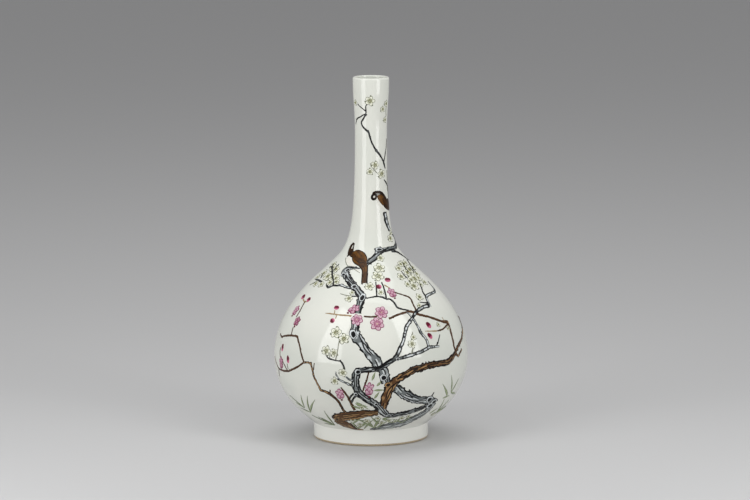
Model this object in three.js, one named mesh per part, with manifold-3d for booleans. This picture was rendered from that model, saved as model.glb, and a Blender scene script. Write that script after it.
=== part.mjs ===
// A Chinese famille rose bottle vase: a round-bellied porcelain body on a turned foot ring, with a long
// slim neck, glazed inside and out and painted over the glaze in thick enamels with a flowering plum,
// bamboo and two birds. Lengths are in millimetres, +Z is up, and the foot stands at z = 0.
// The painted front faces -Y. An azimuth is in degrees round from the front, positive towards +X.

import * as THREE from 'three';
import { mergeVertices } from 'three/addons/utils/BufferGeometryUtils.js';
import Module from 'manifold-3d';

const wasm = await Module();
wasm.setup();

// Outline of the glazed vase
const HEIGHT = 380;
const FOOT_RADIUS = 60.3;
const FOOT_HEIGHT = 16.5;
const BELLY_RADIUS = 102;
const BELLY_HEIGHT = 86.5;
const SHOULDER_RADIUS = 51;
const SHOULDER_HEIGHT = 177;
const SHOULDER_ANGLE = 43.5;
const WAIST_RADIUS = 16.85;
const WAIST_HEIGHT = 320;
const MOUTH_RADIUS = 19.1;

// How full each stretch of the outline is, as a share of the rise or run that it crosses
const FOOT_SPREAD_ANGLE = 40;
const FOOT_SPREAD = 0.18;
const LOWER_FULLNESS = 0.6;
const UPPER_FULLNESS = 0.54;
const SHOULDER_FULLNESS = 0.185;
const NECK_SWEEP = 0.8;
const NECK_STRAIGHTNESS = 0.846;
const WAIST_EASE = 0.5;
const MOUTH_EASE = 0.43;

// Foot ring and the recess turned under the base
const FOOT_WALL = 7;
const FOOT_EDGE = 1.3;
const BARE_RIM = 2.4;
const RECESS_DEPTH = 9;
const RECESS_TAPER = 1.4;
const FLOOR_THICKNESS = 7;
const FLOOR_CURVE = 17;
const FLOOR_CURVE_EASE = 4;

// Walls of the thrown porcelain, measured square to the wall
const FOOT_SEAM_WALL = 5.6;
const BELLY_SEAM_WALL = 4.6;
const NECK_SEAM_WALL = 4;
const WAIST_WALL = 2.6;
const LIP_WALL = 1.6;
const LIP_ROUND = 2.4;

// The sections are luted end to end with slip, a little above the foot, the belly and the shoulder
const FOOT_SEAM_RISE = 13.5;
const BELLY_SEAM_RISE = 5.5;
const NECK_SEAM_RISE = 19;
const SLIP = 1;

// Coats on the porcelain. A coat's back lies this far off the face that it covers
const COAT_SEAT = 0.05;
const GLAZE = 0.5;
const ENAMEL = 0.5;
const ENAMEL_SEAT = 0.15;
const ENAMEL_GAP = 0.4;

// Facets round the vase, a multiple of four
const FACETS = 24;

const FOOT_SEAM_HEIGHT = FOOT_HEIGHT + FOOT_SEAM_RISE;
const BELLY_SEAM_HEIGHT = BELLY_HEIGHT + BELLY_SEAM_RISE;
const NECK_SEAM_HEIGHT = SHOULDER_HEIGHT + NECK_SEAM_RISE;

const degrees = THREE.MathUtils.degToRad;

// Outline

function point(radius, height) {
  return new THREE.Vector2(radius, height);
}

const footTop = point(FOOT_RADIUS, FOOT_HEIGHT);
const belly = point(BELLY_RADIUS, BELLY_HEIGHT);
const shoulder = point(SHOULDER_RADIUS, SHOULDER_HEIGHT);
const waist = point(WAIST_RADIUS, WAIST_HEIGHT);
const mouth = point(MOUTH_RADIUS, HEIGHT);

const shoulderLine = point(-Math.cos(degrees(SHOULDER_ANGLE)), Math.sin(degrees(SHOULDER_ANGLE)));
const footLine = point(Math.cos(degrees(FOOT_SPREAD_ANGLE)), Math.sin(degrees(FOOT_SPREAD_ANGLE)));

function along(start, line, run) {
  return start.clone().addScaledVector(line, run / Math.abs(line.x));
}

const outline = [
  new THREE.CubicBezierCurve(
    footTop,
    along(footTop, footLine, FOOT_SPREAD * (BELLY_RADIUS - FOOT_RADIUS)),
    point(BELLY_RADIUS, BELLY_HEIGHT - LOWER_FULLNESS * (BELLY_HEIGHT - FOOT_HEIGHT)),
    belly,
  ),
  new THREE.CubicBezierCurve(
    belly,
    point(BELLY_RADIUS, BELLY_HEIGHT + UPPER_FULLNESS * (SHOULDER_HEIGHT - BELLY_HEIGHT)),
    along(shoulder, shoulderLine, -SHOULDER_FULLNESS * (BELLY_RADIUS - SHOULDER_RADIUS)),
    shoulder,
  ),
  new THREE.CubicBezierCurve(
    shoulder,
    along(shoulder, shoulderLine, NECK_SWEEP * (SHOULDER_RADIUS - WAIST_RADIUS)),
    point(WAIST_RADIUS, WAIST_HEIGHT - NECK_STRAIGHTNESS * (WAIST_HEIGHT - SHOULDER_HEIGHT)),
    waist,
  ),
  new THREE.CubicBezierCurve(
    waist,
    point(WAIST_RADIUS, WAIST_HEIGHT + WAIST_EASE * (HEIGHT - WAIST_HEIGHT)),
    point(MOUTH_RADIUS, HEIGHT - MOUTH_EASE * (HEIGHT - WAIST_HEIGHT)),
    mouth,
  ),
];

// Radius of the glazed outline at a height, by halving the stretch that holds it
function radiusAt(height) {
  if (height <= FOOT_HEIGHT) {
    return FOOT_RADIUS;
  }
  const curve = outline.find((stretch) => height <= stretch.v3.y) ?? outline.at(-1);
  let low = 0;
  let high = 1;
  for (let halving = 0; halving < 36; halving += 1) {
    const middle = (low + high) / 2;
    if (curve.getPoint(middle).y < height) {
      low = middle;
    } else {
      high = middle;
    }
  }
  return curve.getPoint(high).x;
}

// Radial thickness of a coat that is 1 mm thick square to the wall
function slant(height) {
  const reach = 0.25;
  const slope = (radiusAt(height + reach) - radiusAt(height - reach)) / (2 * reach);
  return Math.hypot(1, slope);
}

const lipBase = HEIGHT - LIP_ROUND;

function wallAt(height) {
  const walls = [
    [FOOT_SEAM_HEIGHT, FOOT_SEAM_WALL],
    [BELLY_SEAM_HEIGHT, BELLY_SEAM_WALL],
    [NECK_SEAM_HEIGHT, NECK_SEAM_WALL],
    [WAIST_HEIGHT, WAIST_WALL],
    [lipBase, LIP_WALL],
  ];
  const upper = Math.max(1, walls.findIndex(([level]) => height <= level));
  const [fromLevel, fromWall] = walls[upper - 1];
  const [toLevel, toWall] = walls[upper];
  return fromWall + (toWall - fromWall) * (height - fromLevel) / (toLevel - fromLevel);
}

// The surfaces of the wall, from the outside in
function glazeOutside(height) {
  return point(radiusAt(height), height);
}

function outerGlazeBack(height) {
  return point(radiusAt(height) - (GLAZE - COAT_SEAT) * slant(height), height);
}

function bodyOutside(height) {
  return point(radiusAt(height) - GLAZE * slant(height), height);
}

function bodyInside(height) {
  return point(radiusAt(height) - (GLAZE + wallAt(height)) * slant(height), height);
}

function innerGlazeBack(height) {
  return point(radiusAt(height) - (GLAZE + wallAt(height) + COAT_SEAT) * slant(height), height);
}

function glazeInside(height) {
  return point(radiusAt(height) - (2 * GLAZE + wallAt(height)) * slant(height), height);
}

// Heights that a stretch is faceted at, crowded towards its foot where crowding is over 1
function levels(from, to, count, crowding = 1) {
  return Array.from({ length: count + 1 }, (_, i) => from + (to - from) * (i / count) ** crowding);
}

const NECK_CROWDING = 1.6;
const footSpan = [FOOT_HEIGHT, FOOT_SEAM_HEIGHT - SLIP / 2];
const lowerSpan = [FOOT_SEAM_HEIGHT + SLIP / 2, BELLY_SEAM_HEIGHT - SLIP / 2];
const upperSpan = [BELLY_SEAM_HEIGHT + SLIP / 2, NECK_SEAM_HEIGHT - SLIP / 2];
const neckSpan = [NECK_SEAM_HEIGHT + SLIP / 2, lipBase];

const outsideLevels = {
  foot: levels(...footSpan, 1),
  lower: [...levels(lowerSpan[0], BELLY_HEIGHT, 3), lowerSpan[1]],
  upper: levels(...upperSpan, 5),
  neck: levels(...neckSpan, 5, NECK_CROWDING),
};

const insideLevels = {
  lower: levels(...lowerSpan, 2),
  upper: levels(...upperSpan, 3),
  neck: levels(...neckSpan, 3, NECK_CROWDING),
};

// Turned solids

// A profile is turned about the axis, and closes on itself unless it starts and ends on the axis
function turned(profile) {
  const closed = profile[0].x === 0 ? profile : [...profile, profile[0]];
  const geometry = new THREE.LatheGeometry(closed, FACETS);
  geometry.rotateX(Math.PI / 2);
  return geometry;
}

// The rounded lip between its outer and inner foot
function lipArc(outer, inner, rise) {
  const centre = (outer.x + inner.x) / 2;
  const half = (outer.x - inner.x) / 2;
  return [45, 90, 135].map((turn) => point(
    centre + half * Math.cos(degrees(turn)),
    lipBase + rise * Math.sin(degrees(turn)),
  ));
}

const outsideFootRadius = FOOT_RADIUS - GLAZE;
const insideFootRadius = outsideFootRadius - FOOT_WALL;
const floorTop = RECESS_DEPTH + FLOOR_THICKNESS;

// The foot ring's inner face leans out from the recess to the rim
const recessCorner = point(insideFootRadius - RECESS_TAPER, RECESS_DEPTH);
const recessGlazeEnd = point(insideFootRadius - RECESS_TAPER * BARE_RIM / RECESS_DEPTH, BARE_RIM);

const floorEdge = bodyInside(footSpan[1]);

// Where the floor of the vase starts to turn up into the wall, and a point on the turn
function floorCurve(lift) {
  const wall = point(floorEdge.x - lift * slant(floorEdge.y), floorEdge.y);
  const start = point(floorEdge.x - FLOOR_CURVE - lift / 2, floorTop + lift);
  const control = point(start.x + FLOOR_CURVE_EASE, start.y);
  const bend = new THREE.QuadraticBezierCurve(start, control, wall);
  return [start, bend.getPoint(0.6)];
}

function footSection() {
  const outside = outsideLevels.foot.map(bodyOutside);
  return turned([
    point(0, RECESS_DEPTH),
    recessCorner,
    recessGlazeEnd,
    point(insideFootRadius, FOOT_EDGE),
    point(insideFootRadius + FOOT_EDGE, 0),
    point(outsideFootRadius - FOOT_EDGE, 0),
    point(outsideFootRadius, FOOT_EDGE),
    bodyOutside(BARE_RIM),
    ...outside,
    floorEdge,
    ...floorCurve(0).reverse(),
    point(0, floorTop),
  ]);
}

function wallSection(outsideHeights, insideHeights) {
  return turned([
    ...outsideHeights.map(bodyOutside),
    ...insideHeights.map(bodyInside).reverse(),
  ]);
}

function neckSection() {
  return turned([
    ...outsideLevels.neck.map(bodyOutside),
    ...lipArc(bodyOutside(lipBase), bodyInside(lipBase), LIP_ROUND - GLAZE),
    ...insideLevels.neck.map(bodyInside).reverse(),
  ]);
}

function slipSeam(from, to) {
  return turned([bodyOutside(from), bodyOutside(to), bodyInside(to), bodyInside(from)]);
}

// The outer glaze runs from the bare rim of the foot up over the lip
function outerGlaze() {
  const heights = [BARE_RIM, ...Object.values(outsideLevels).flat()];
  return turned([
    ...heights.map(glazeOutside),
    ...lipArc(glazeOutside(lipBase), glazeInside(lipBase), LIP_ROUND),
    glazeInside(lipBase),
    innerGlazeBack(lipBase),
    ...lipArc(outerGlazeBack(lipBase), innerGlazeBack(lipBase), LIP_ROUND - GLAZE + COAT_SEAT).reverse(),
    ...heights.map(outerGlazeBack).reverse(),
  ]);
}

function innerGlaze() {
  const heights = Object.values(insideLevels).flat();
  return turned([
    point(0, floorTop + COAT_SEAT),
    ...floorCurve(COAT_SEAT),
    innerGlazeBack(floorEdge.y),
    ...heights.map(innerGlazeBack),
    ...heights.map(glazeInside).reverse(),
    glazeInside(floorEdge.y),
    ...floorCurve(GLAZE).reverse(),
    point(0, floorTop + GLAZE),
  ]);
}

function baseGlaze() {
  return turned([
    point(0, RECESS_DEPTH - GLAZE),
    point(recessCorner.x - GLAZE, RECESS_DEPTH - GLAZE),
    point(recessGlazeEnd.x - GLAZE, BARE_RIM),
    point(recessGlazeEnd.x - COAT_SEAT, BARE_RIM),
    point(recessCorner.x - COAT_SEAT, RECESS_DEPTH - COAT_SEAT),
    point(0, RECESS_DEPTH - COAT_SEAT),
  ]);
}

// Enamel painting

// The painter's pattern is drawn for these radii and heights, and is fitted to the vase between them
const PATTERN_PLACES = [
  point(60.3, 0),
  point(60.3, 16.5),
  point(102, 86.5),
  point(51, 177),
  point(16.85, 320),
  point(19.1, 380),
];
const VASE_PLACES = [point(FOOT_RADIUS, 0), footTop, belly, shoulder, waist, mouth];

// Height on the vase of a height in the pattern, how much wider its motifs are drawn there, and how much
// broader its brush strokes are
function onVase(patternHeight) {
  const upper = Math.max(1, PATTERN_PLACES.findIndex((place) => patternHeight <= place.y));
  const [patternLow, patternHigh] = PATTERN_PLACES.slice(upper - 1, upper + 1);
  const [vaseLow, vaseHigh] = VASE_PLACES.slice(upper - 1, upper + 1);
  const share = (patternHeight - patternLow.y) / (patternHigh.y - patternLow.y);
  const rise = (vaseHigh.y - vaseLow.y) / (patternHigh.y - patternLow.y);
  const spread = vaseLow.clone().lerp(vaseHigh, share).x / patternLow.clone().lerp(patternHigh, share).x;
  return { height: vaseLow.y + share * (vaseHigh.y - vaseLow.y), spread, breadth: Math.max(rise, spread) };
}

// A step of x to the right and y up along the wall, from an azimuth and height, in millimetres
function stepOn(azimuth, height, x, y) {
  const top = height + y / slant(height);
  return [azimuth + THREE.MathUtils.radToDeg(x / radiusAt(top)), top];
}

function solidFrom(vertices, triangles) {
  return new wasm.Manifold(new wasm.Mesh({
    numProp: 3,
    vertProperties: new Float32Array(vertices),
    triVerts: new Uint32Array(triangles),
  }));
}

// The cutter of a motif stands this far in and out of the vase's face
const CUTTER_REACH = 4;

function cutterPair([azimuth, height]) {
  const angle = degrees(azimuth);
  return [CUTTER_REACH, -CUTTER_REACH].flatMap((lift) => {
    const radius = radiusAt(height) + lift;
    return [radius * Math.sin(angle), -radius * Math.cos(angle), height];
  });
}

function quad(a, b, c, d) {
  return [a, b, c, a, c, d];
}

// A brush stroke through [azimuth, pattern height, half width], widened by grow on every side
function stroke(...path) {
  return (grow) => {
    const places = path.map(([azimuth, patternHeight, half]) => {
      const { height, breadth } = onVase(patternHeight);
      return [azimuth, height, breadth * half + grow];
    });
    const sides = places.map(([azimuth, height, half], i) => {
      const before = places[Math.max(0, i - 1)];
      const after = places[Math.min(places.length - 1, i + 1)];
      const run = degrees(after[0] - before[0]) * radiusAt(height);
      const rise = (after[1] - before[1]) * slant(height);
      const length = Math.hypot(run, rise);
      const end = (i === 0 ? -grow : 0) + (i === places.length - 1 ? grow : 0);
      const [x, y] = [run * end / length, rise * end / length];
      const [acrossX, acrossY] = [-rise * half / length, run * half / length];
      return [
        stepOn(azimuth, height, x + acrossX, y + acrossY),
        stepOn(azimuth, height, x - acrossX, y - acrossY),
      ];
    });
    const vertices = sides.flatMap(([left, right]) => [...cutterPair(left), ...cutterPair(right)]);
    const last = 4 * (sides.length - 1);
    const triangles = [
      ...quad(0, 1, 3, 2),
      ...quad(last, last + 2, last + 3, last + 1),
    ];
    for (let at = 0; at < last; at += 4) {
      const next = at + 4;
      triangles.push(
        ...quad(at, at + 2, next + 2, next),
        ...quad(at + 1, next + 1, next + 3, at + 3),
        ...quad(at, next, next + 1, at + 1),
        ...quad(at + 2, at + 3, next + 3, next + 2),
      );
    }
    return solidFrom(vertices, triangles);
  };
}

// A patch round a centre, its edge given by a radius at each turn, widened by grow
function patch(azimuth, patternHeight, sides, radiusOfTurn, tilt = 0) {
  return (grow) => {
    const { height, spread } = onVase(patternHeight);
    const vertices = cutterPair([azimuth, height]);
    const triangles = [];
    for (let i = 0; i < sides; i += 1) {
      const turn = 2 * Math.PI * i / sides;
      const [across, up] = radiusOfTurn(turn);
      const wide = spread + grow / Math.hypot(across, up);
      const x = wide * (across * Math.cos(degrees(tilt)) - up * Math.sin(degrees(tilt)));
      const y = wide * (across * Math.sin(degrees(tilt)) + up * Math.cos(degrees(tilt)));
      vertices.push(...cutterPair(stepOn(azimuth, height, x, y)));
      const at = 2 * (i + 1);
      const next = 2 * ((i + 1) % sides + 1);
      triangles.push(0, at, next, 1, next + 1, at + 1);
      triangles.push(...quad(at, at + 1, next + 1, next));
    }
    return solidFrom(vertices, triangles);
  };
}

const PETALS = 5;
const PETAL_SIDES = 3;
const PETAL_NOTCH = 0.16;

// A plum blossom seen from the front, with five round petals
function blossom(azimuth, height, radius, tilt = 0) {
  return patch(azimuth, height, PETALS * PETAL_SIDES, (turn) => {
    const lobe = radius * (1 - PETAL_NOTCH + PETAL_NOTCH * Math.abs(Math.cos(PETALS * turn / 2)) ** 0.5);
    return [lobe * Math.cos(turn), lobe * Math.sin(turn)];
  }, tilt);
}

const BUD_SIDES = 7;
const BUD_SPREAD = 0.2;

// A bud or a blossom seen from the side, as an oval that is narrower at its foot
function bud(azimuth, height, half, length, tilt = 0) {
  return patch(azimuth, height, BUD_SIDES, (turn) => {
    const wide = half * (1 + BUD_SPREAD * Math.sin(turn));
    return [wide * Math.cos(turn), length * Math.sin(turn)];
  }, tilt);
}

const LEAF_FOOT = 0.4;
const LEAF_TIP = 0.15;
const LEAF_WIDEST = 0.4;

// A bamboo leaf from its foot to its tip, widest at a share of its length
function leaf([footAzimuth, footHeight], [tipAzimuth, tipHeight], half) {
  return stroke(
    [footAzimuth, footHeight, LEAF_FOOT],
    [
      footAzimuth + LEAF_WIDEST * (tipAzimuth - footAzimuth),
      footHeight + LEAF_WIDEST * (tipHeight - footHeight),
      half,
    ],
    [tipAzimuth, tipHeight, LEAF_TIP],
  );
}

function spray(foot, half, ...tips) {
  return joined(...tips.map((tip) => leaf(foot, tip, half)));
}

function joined(...shapes) {
  return (grow) => shapes.map((shape) => shape(grow)).reduce((whole, next) => whole.add(next));
}

function solidOf(geometry) {
  geometry.deleteAttribute('normal');
  geometry.deleteAttribute('uv');
  const merged = mergeVertices(geometry);
  return solidFrom(merged.getAttribute('position').array, merged.getIndex().array);
}

function geometryOf(solid) {
  const { vertProperties, triVerts } = solid.getMesh();
  const geometry = new THREE.BufferGeometry();
  geometry.setAttribute('position', new THREE.BufferAttribute(vertProperties, 3));
  geometry.setIndex(new THREE.BufferAttribute(triVerts, 1));
  geometry.computeVertexNormals();
  return geometry;
}

// The enamel's coat over the whole glaze, which each motif is cut out of
function enamelCoat() {
  const heights = Object.values(outsideLevels).flat();
  const surface = (lift) => heights.map((height) => (
    point(radiusAt(height) + lift * slant(height), height)
  ));
  return solidOf(turned([
    ...surface(ENAMEL_SEAT + ENAMEL),
    ...surface(ENAMEL_SEAT).reverse(),
  ]));
}

// The pattern: each motif names the motifs that were painted over it, which it stops short of

const pinkUpper = blossom(7.6, 144.4, 7, 10);
const pinkLower = blossom(4.2, 134, 7.4, -20);
const pinkLeftUpper = bud(-13, 147.2, 4.4, 7.4, -52);
const pinkLeftLower = blossom(-9.6, 137.6, 6.4, -15);
const pinkShoulder = bud(19, 161.9, 4, 7, 14);

const lowerBird = joined(
  stroke(
    [-8.6, 171.6, 2.4],
    [-8.6, 184, 3.1],
    [-12.2, 188.2, 4.8],
    [-17, 191.4, 7.4],
    [-19.8, 194.6, 8.4],
    [-24.4, 198.4, 6.6],
    [-32, 199.8, 3],
    [-38, 199.4, 2],
  ),
  stroke([-39.4, 196.4, 1.6], [-41.2, 200, 3.2], [-41.2, 204.6, 3.1], [-38, 209, 0.8]),
);

const upperBird = joined(
  stroke(
    [24, 260.2, 1.2],
    [38, 253.6, 4.2],
    [50, 250.6, 5.4],
    [66, 249, 6],
    [96, 244.4, 4.4],
    [110, 242, 1.6],
  ),
  stroke([9.4, 254.6, 2], [9.8, 257.4, 3.1], [13, 260.6, 1.8], [22, 261.6, 1.2], [30, 261, 1.2]),
);

const greyRoot = joined(
  stroke(
    [-1, 18.8, 1.2],
    [7, 20.4, 4.2],
    [17, 22.8, 7],
    [28, 25.4, 7.4],
    [37, 31, 6.4],
    [43.4, 37, 5.4],
    [46.4, 50, 5],
  ),
  stroke(
    [47, 48, 4.4],
    [40.5, 50.6, 5.8],
    [33, 52.4, 5.4],
    [26.6, 55.8, 5.5],
    [20.6, 60.6, 5.8],
    [14.8, 68.6, 5],
  ),
);

const greyLowerBranch = joined(
  stroke(
    [43.6, 45.8, 2.9],
    [30, 40, 3.7],
    [17, 36.8, 3.9],
    [11.4, 37.4, 4.1],
    [6.4, 45, 5.1],
    [-7.4, 64.6, 4.4],
    [-9, 72, 4.4],
    [-9, 84, 4.5],
    [-8, 88, 3.2],
  ),
  stroke([-9.4, 87.2, 3.2], [1, 88.7, 2.9], [6.4, 91, 3.2], [14.6, 99.8, 2.4]),
  stroke([5, 91, 4.1], [7.2, 86.6, 5.9], [8, 80.4, 6.1], [9.2, 74.6, 5.1]),
  stroke([-9.4, 70.2, 1.5], [-18.8, 77.6, 1], [-20.8, 85.4, 0.5]),
);

const greyTrunk = stroke(
  [4.4, 89, 5.5],
  [3.4, 96, 6.2],
  [-5, 113.6, 5.2],
  [-9, 121, 5.9],
  [-10.4, 129, 5.1],
  [-10.2, 134, 4.6],
);

const greyTrunkTop = joined(
  stroke(
    [-9.4, 143, 3.8],
    [-8, 159.2, 4.8],
    [-20.4, 171.2, 3.9],
    [-33.8, 179.6, 3.9],
    [-35.2, 182.4, 3.1],
  ),
  stroke([-34.8, 182.6, 2.7], [-28, 184.6, 2.2], [-17, 184.6, 0.8]),
);

const greyRightBranch = joined(
  stroke(
    [13.6, 99, 2.4],
    [20.5, 118, 2.2],
    [22.8, 127.2, 2.2],
    [27, 134.8, 2.2],
    [37, 144.8, 2.3],
    [49.6, 147, 2.6],
  ),
  stroke(
    [49.6, 145.6, 1.9],
    [50.6, 152.6, 1.9],
    [53.4, 156.2, 2.2],
    [71.4, 158.4, 1.7],
    [73.8, 163, 1.3],
    [74.4, 167.4, 0.8],
  ),
  stroke([51.6, 155.6, 1.6], [51.8, 161, 1.3], [54.4, 165.8, 1.1]),
);

const greyRightTwig = joined(
  stroke([13.8, 98.8, 1.9], [31, 104.3, 1.9], [37, 107.8, 2.1], [45.6, 107.6, 1.1]),
  stroke([36.8, 108, 2], [36.4, 114.6, 1.7], [31.6, 132, 1.4], [30.6, 136.4, 1.3]),
);

const greyShoulderTwig = joined(
  stroke([-18, 166.4, 1.6], [-34, 168.2, 1.3], [-44.4, 165.4, 1.3], [-49.5, 167.8, 0.8]),
  stroke([-39.4, 167, 1.1], [-45, 173.4, 0.8]),
);

const thinShoulderTwig = joined(
  stroke(
    [-4, 157.6, 1],
    [5, 159.4, 1],
    [9.6, 158.8, 1.1],
    [13, 156.9, 1.2],
    [16, 156.8, 1.1],
    [20.2, 148.8, 1.2],
    [28.4, 145.2, 1],
  ),
  stroke([5.1, 159.4, 0.9], [5.2, 172, 0.7]),
  stroke([13, 157, 1], [11.4, 172.4, 0.8]),
);

const neckBranch = joined(
  stroke(
    [-5, 189.4, 2.7],
    [10.4, 196.6, 3.4],
    [17.4, 199.4, 2.9],
    [34, 201.6, 2.7],
    [58, 202, 2.5],
    [72, 203.4, 2.5],
    [90, 208.6, 2.4],
    [84, 215.4, 2.2],
    [62, 221.8, 2.9],
    [54, 229, 3.4],
    [50.2, 239.6, 3.2],
  ),
  stroke([50, 201.6, 1.4], [88, 187, 0.6]),
);

const neckTwig = joined(
  stroke(
    [61, 284.6, 1.2],
    [34.4, 299.7, 1.1],
    [14, 307.4, 1.1],
    [-8.6, 324, 1],
    [-27.5, 328.6, 1],
    [-34, 334, 1],
    [-16, 343.6, 1.2],
    [-17.2, 350.6, 0.8],
  ),
  stroke([-18, 342, 0.9], [-62, 335.4, 0.7]),
  stroke([51, 291, 1], [74, 314, 0.6]),
);

const brownTrunkFoot = joined(
  stroke(
    [-29.8, 29.8, 3.6],
    [-25.6, 32.4, 6.4],
    [-20, 34.4, 7.6],
    [-13, 36.6, 7.6],
    [-5, 39, 6.4],
    [5, 40.8, 4.4],
  ),
  stroke([-29.6, 29, 3.6], [-25, 25.2, 6.8], [-20.4, 22.4, 6.6], [-14, 19.2, 2.8], [-7, 18.2, 1]),
);

const brownTrunk = stroke(
  [7.4, 44, 3.9],
  [10.2, 63, 5.8],
  [12.2, 71.8, 5.8],
  [15.6, 77.6, 4.6],
  [28, 87.4, 4.1],
  [37, 89.6, 4],
  [49, 89.8, 3.7],
  [55, 92.6, 3.7],
  [60, 97, 2.8],
);

const brownTwigLeft = joined(
  stroke(
    [-17.6, 39.8, 2],
    [-20.6, 51.2, 1.7],
    [-25.6, 60.4, 1.9],
    [-31.6, 63.8, 1.7],
    [-33.8, 72, 1.3],
    [-37.4, 90.4, 1.4],
    [-43, 91.6, 1.4],
    [-46.1, 101.8, 1.2],
    [-51.6, 115, 1.4],
    [-61.2, 114.9, 1.3],
    [-71, 111, 1.2],
    [-75.4, 113.2, 0.9],
  ),
  stroke(
    [-43, 91.4, 1.2],
    [-50, 84, 1.2],
    [-58.3, 78.4, 1.3],
    [-71, 77.4, 1],
    [-80, 88, 0.6],
  ),
  stroke([-58.4, 78.8, 1], [-68.8, 98, 0.6]),
  stroke([-58.4, 115.2, 1], [-59.4, 121, 0.8]),
);

const brownTwigFoot = stroke([-10.8, 43, 1.4], [-14.6, 59.6, 1.1], [-16.4, 64.4, 0.8]);

const brownTwigRight = joined(
  stroke(
    [60.4, 97, 2],
    [59.6, 106, 1.9],
    [60.8, 126, 1.9],
    [58.6, 129.4, 2],
    [41, 138.4, 1.6],
    [35.4, 141, 1.7],
  ),
  stroke([60, 127, 1.4], [55, 124.4, 1.1], [46.8, 122.6, 0.9]),
  stroke([60, 97, 2], [65.4, 103.6, 2], [76, 111.6, 1.7], [85, 120, 1.3], [87, 125, 1]),
);

const brownTwigCentre = stroke([30.6, 144.2, 1.6], [18.4, 141.4, 1.4], [12.6, 138.8, 1.2]);
const brownTwigFarLeft = stroke([-14, 141.3, 1.2], [-34.4, 142, 0.5]);
const brownTwigShoulder = stroke(
  [20.6, 163.2, 1],
  [33.6, 157.2, 1.1],
  [35, 146, 1.2],
);
const brownTwigUpperLeft = joined(
  stroke([-61, 133.4, 1.1], [-60.4, 140.2, 1], [-61.2, 149.4, 0.9]),
  stroke([-61, 148.6, 0.9], [-66.4, 150.6, 1]),
  stroke([-61.2, 148.6, 0.9], [-57.4, 150.2, 1]),
);

const bambooLeft = joined(
  spray([-51, 34.3], 1.5, [-43.8, 55.4], [-38.2, 52], [-62, 37]),
  spray([-54.6, 38.6], 1.5, [-50, 55], [-67, 50.4]),
  stroke([-51, 34.3, 0.6], [-54.6, 38.6, 0.6]),
);
const bambooLeftLow = spray([-34, 21.6], 1.5, [-34.8, 40], [-42.7, 30], [-53, 30.8], [-45.6, 22.4]);
const bambooCentre = spray([-2, 30.4], 1.3, [-10.6, 21.4], [-9, 32], [2.6, 22], [7.6, 34]);
const bambooRight = joined(
  spray([62, 54], 1.4, [55.6, 75], [66.4, 68.4], [74.4, 49.4]),
  spray([58.8, 50.6], 1.4, [48.2, 67.6]),
  stroke([62, 54, 0.6], [58.8, 50.6, 0.6]),
);
const bambooRightLow = spray([60.6, 31.6], 1.4, [57, 48.4], [66, 45.4], [71, 37]);

const pinkLowLeft = bud(-19, 61, 4.4, 7.2, 8);
const pinkLowCentre = bud(-1, 67.2, 4.4, 8.6);
const pinkLeftSide = bud(-58.4, 129, 3.6, 6.2, -6);

// Painting past the photographed side: the right twig and its blossoms run on round the back
const backTwig = joined(
  stroke(
    [86, 128, 1.3],
    [104, 121, 1.5],
    [130, 117, 1.6],
    [152, 110, 1.2],
    [168, 112, 0.8],
  ),
  stroke([130, 117, 1.3], [144, 136, 0.7]),
);
const backTwigLeft = joined(
  stroke([-98, 96, 1.2], [-112, 102, 1.4], [-136, 98, 0.8]),
  stroke([-112, 102, 1.2], [-116, 116, 1], [-110, 128, 0.6]),
);

const colours = {
  porcelain: [0xe9e2d3, 0.75],
  slip: [0xe4dccb, 0.8],
  glaze: [0xdfe4dc, 0.12],
  greyBark: [0x6d7678, 0.3],
  brownBark: [0x6a4a2a, 0.3],
  rose: [0xc98aa6, 0.3],
  crimson: [0x7a2440, 0.3],
  whitePetal: [0xdfe3b4, 0.3],
  bamboo: [0x7f9a78, 0.3],
  plumage: [0x5b3a18, 0.3],
};

const vase = new THREE.Group();

function addPart(name, geometry, colour) {
  const [color, roughness] = colours[colour];
  const part = new THREE.Mesh(geometry, new THREE.MeshStandardMaterial({ color, roughness, metalness: 0 }));
  part.name = name;
  vase.add(part);
}

const coat = enamelCoat();

function addEnamel(name, colour, motif, ...paintedOver) {
  const kept = paintedOver.reduce((left, over) => left.subtract(over(ENAMEL_GAP)), motif(0));
  addPart(name, geometryOf(coat.intersect(kept)), colour);
}

addPart('foot_section', footSection(), 'porcelain');
addPart('lower_belly', wallSection(outsideLevels.lower, insideLevels.lower), 'porcelain');
addPart('upper_belly', wallSection(outsideLevels.upper, insideLevels.upper), 'porcelain');
addPart('neck', neckSection(), 'porcelain');
addPart('foot_seam_slip', slipSeam(footSpan[1], lowerSpan[0]), 'slip');
addPart('belly_seam_slip', slipSeam(lowerSpan[1], upperSpan[0]), 'slip');
addPart('neck_seam_slip', slipSeam(upperSpan[1], neckSpan[0]), 'slip');
addPart('outer_glaze', outerGlaze(), 'glaze');
addPart('inner_glaze', innerGlaze(), 'glaze');
addPart('base_glaze', baseGlaze(), 'glaze');

addEnamel('grey_root', 'greyBark', greyRoot, brownTrunk);
addEnamel('grey_lower_branch', 'greyBark', greyLowerBranch, greyRoot, pinkLowCentre);
addEnamel('grey_trunk', 'greyBark', greyTrunk, greyLowerBranch, pinkLeftLower);
addEnamel('grey_trunk_top', 'greyBark', greyTrunkTop, pinkLeftUpper, pinkLeftLower);
addEnamel('grey_right_branch', 'greyBark', greyRightBranch, greyLowerBranch);
addEnamel('grey_right_twig', 'greyBark', greyRightTwig, greyLowerBranch, greyRightBranch);
addEnamel('grey_shoulder_twig', 'greyBark', greyShoulderTwig, greyTrunkTop);
addEnamel('thin_shoulder_twig', 'greyBark', thinShoulderTwig, greyTrunkTop, brownTwigCentre);
addEnamel('neck_branch', 'greyBark', neckBranch, lowerBird);
addEnamel('neck_twig', 'greyBark', neckTwig);
addEnamel('brown_trunk_foot', 'brownBark', brownTrunkFoot, greyLowerBranch);
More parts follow.
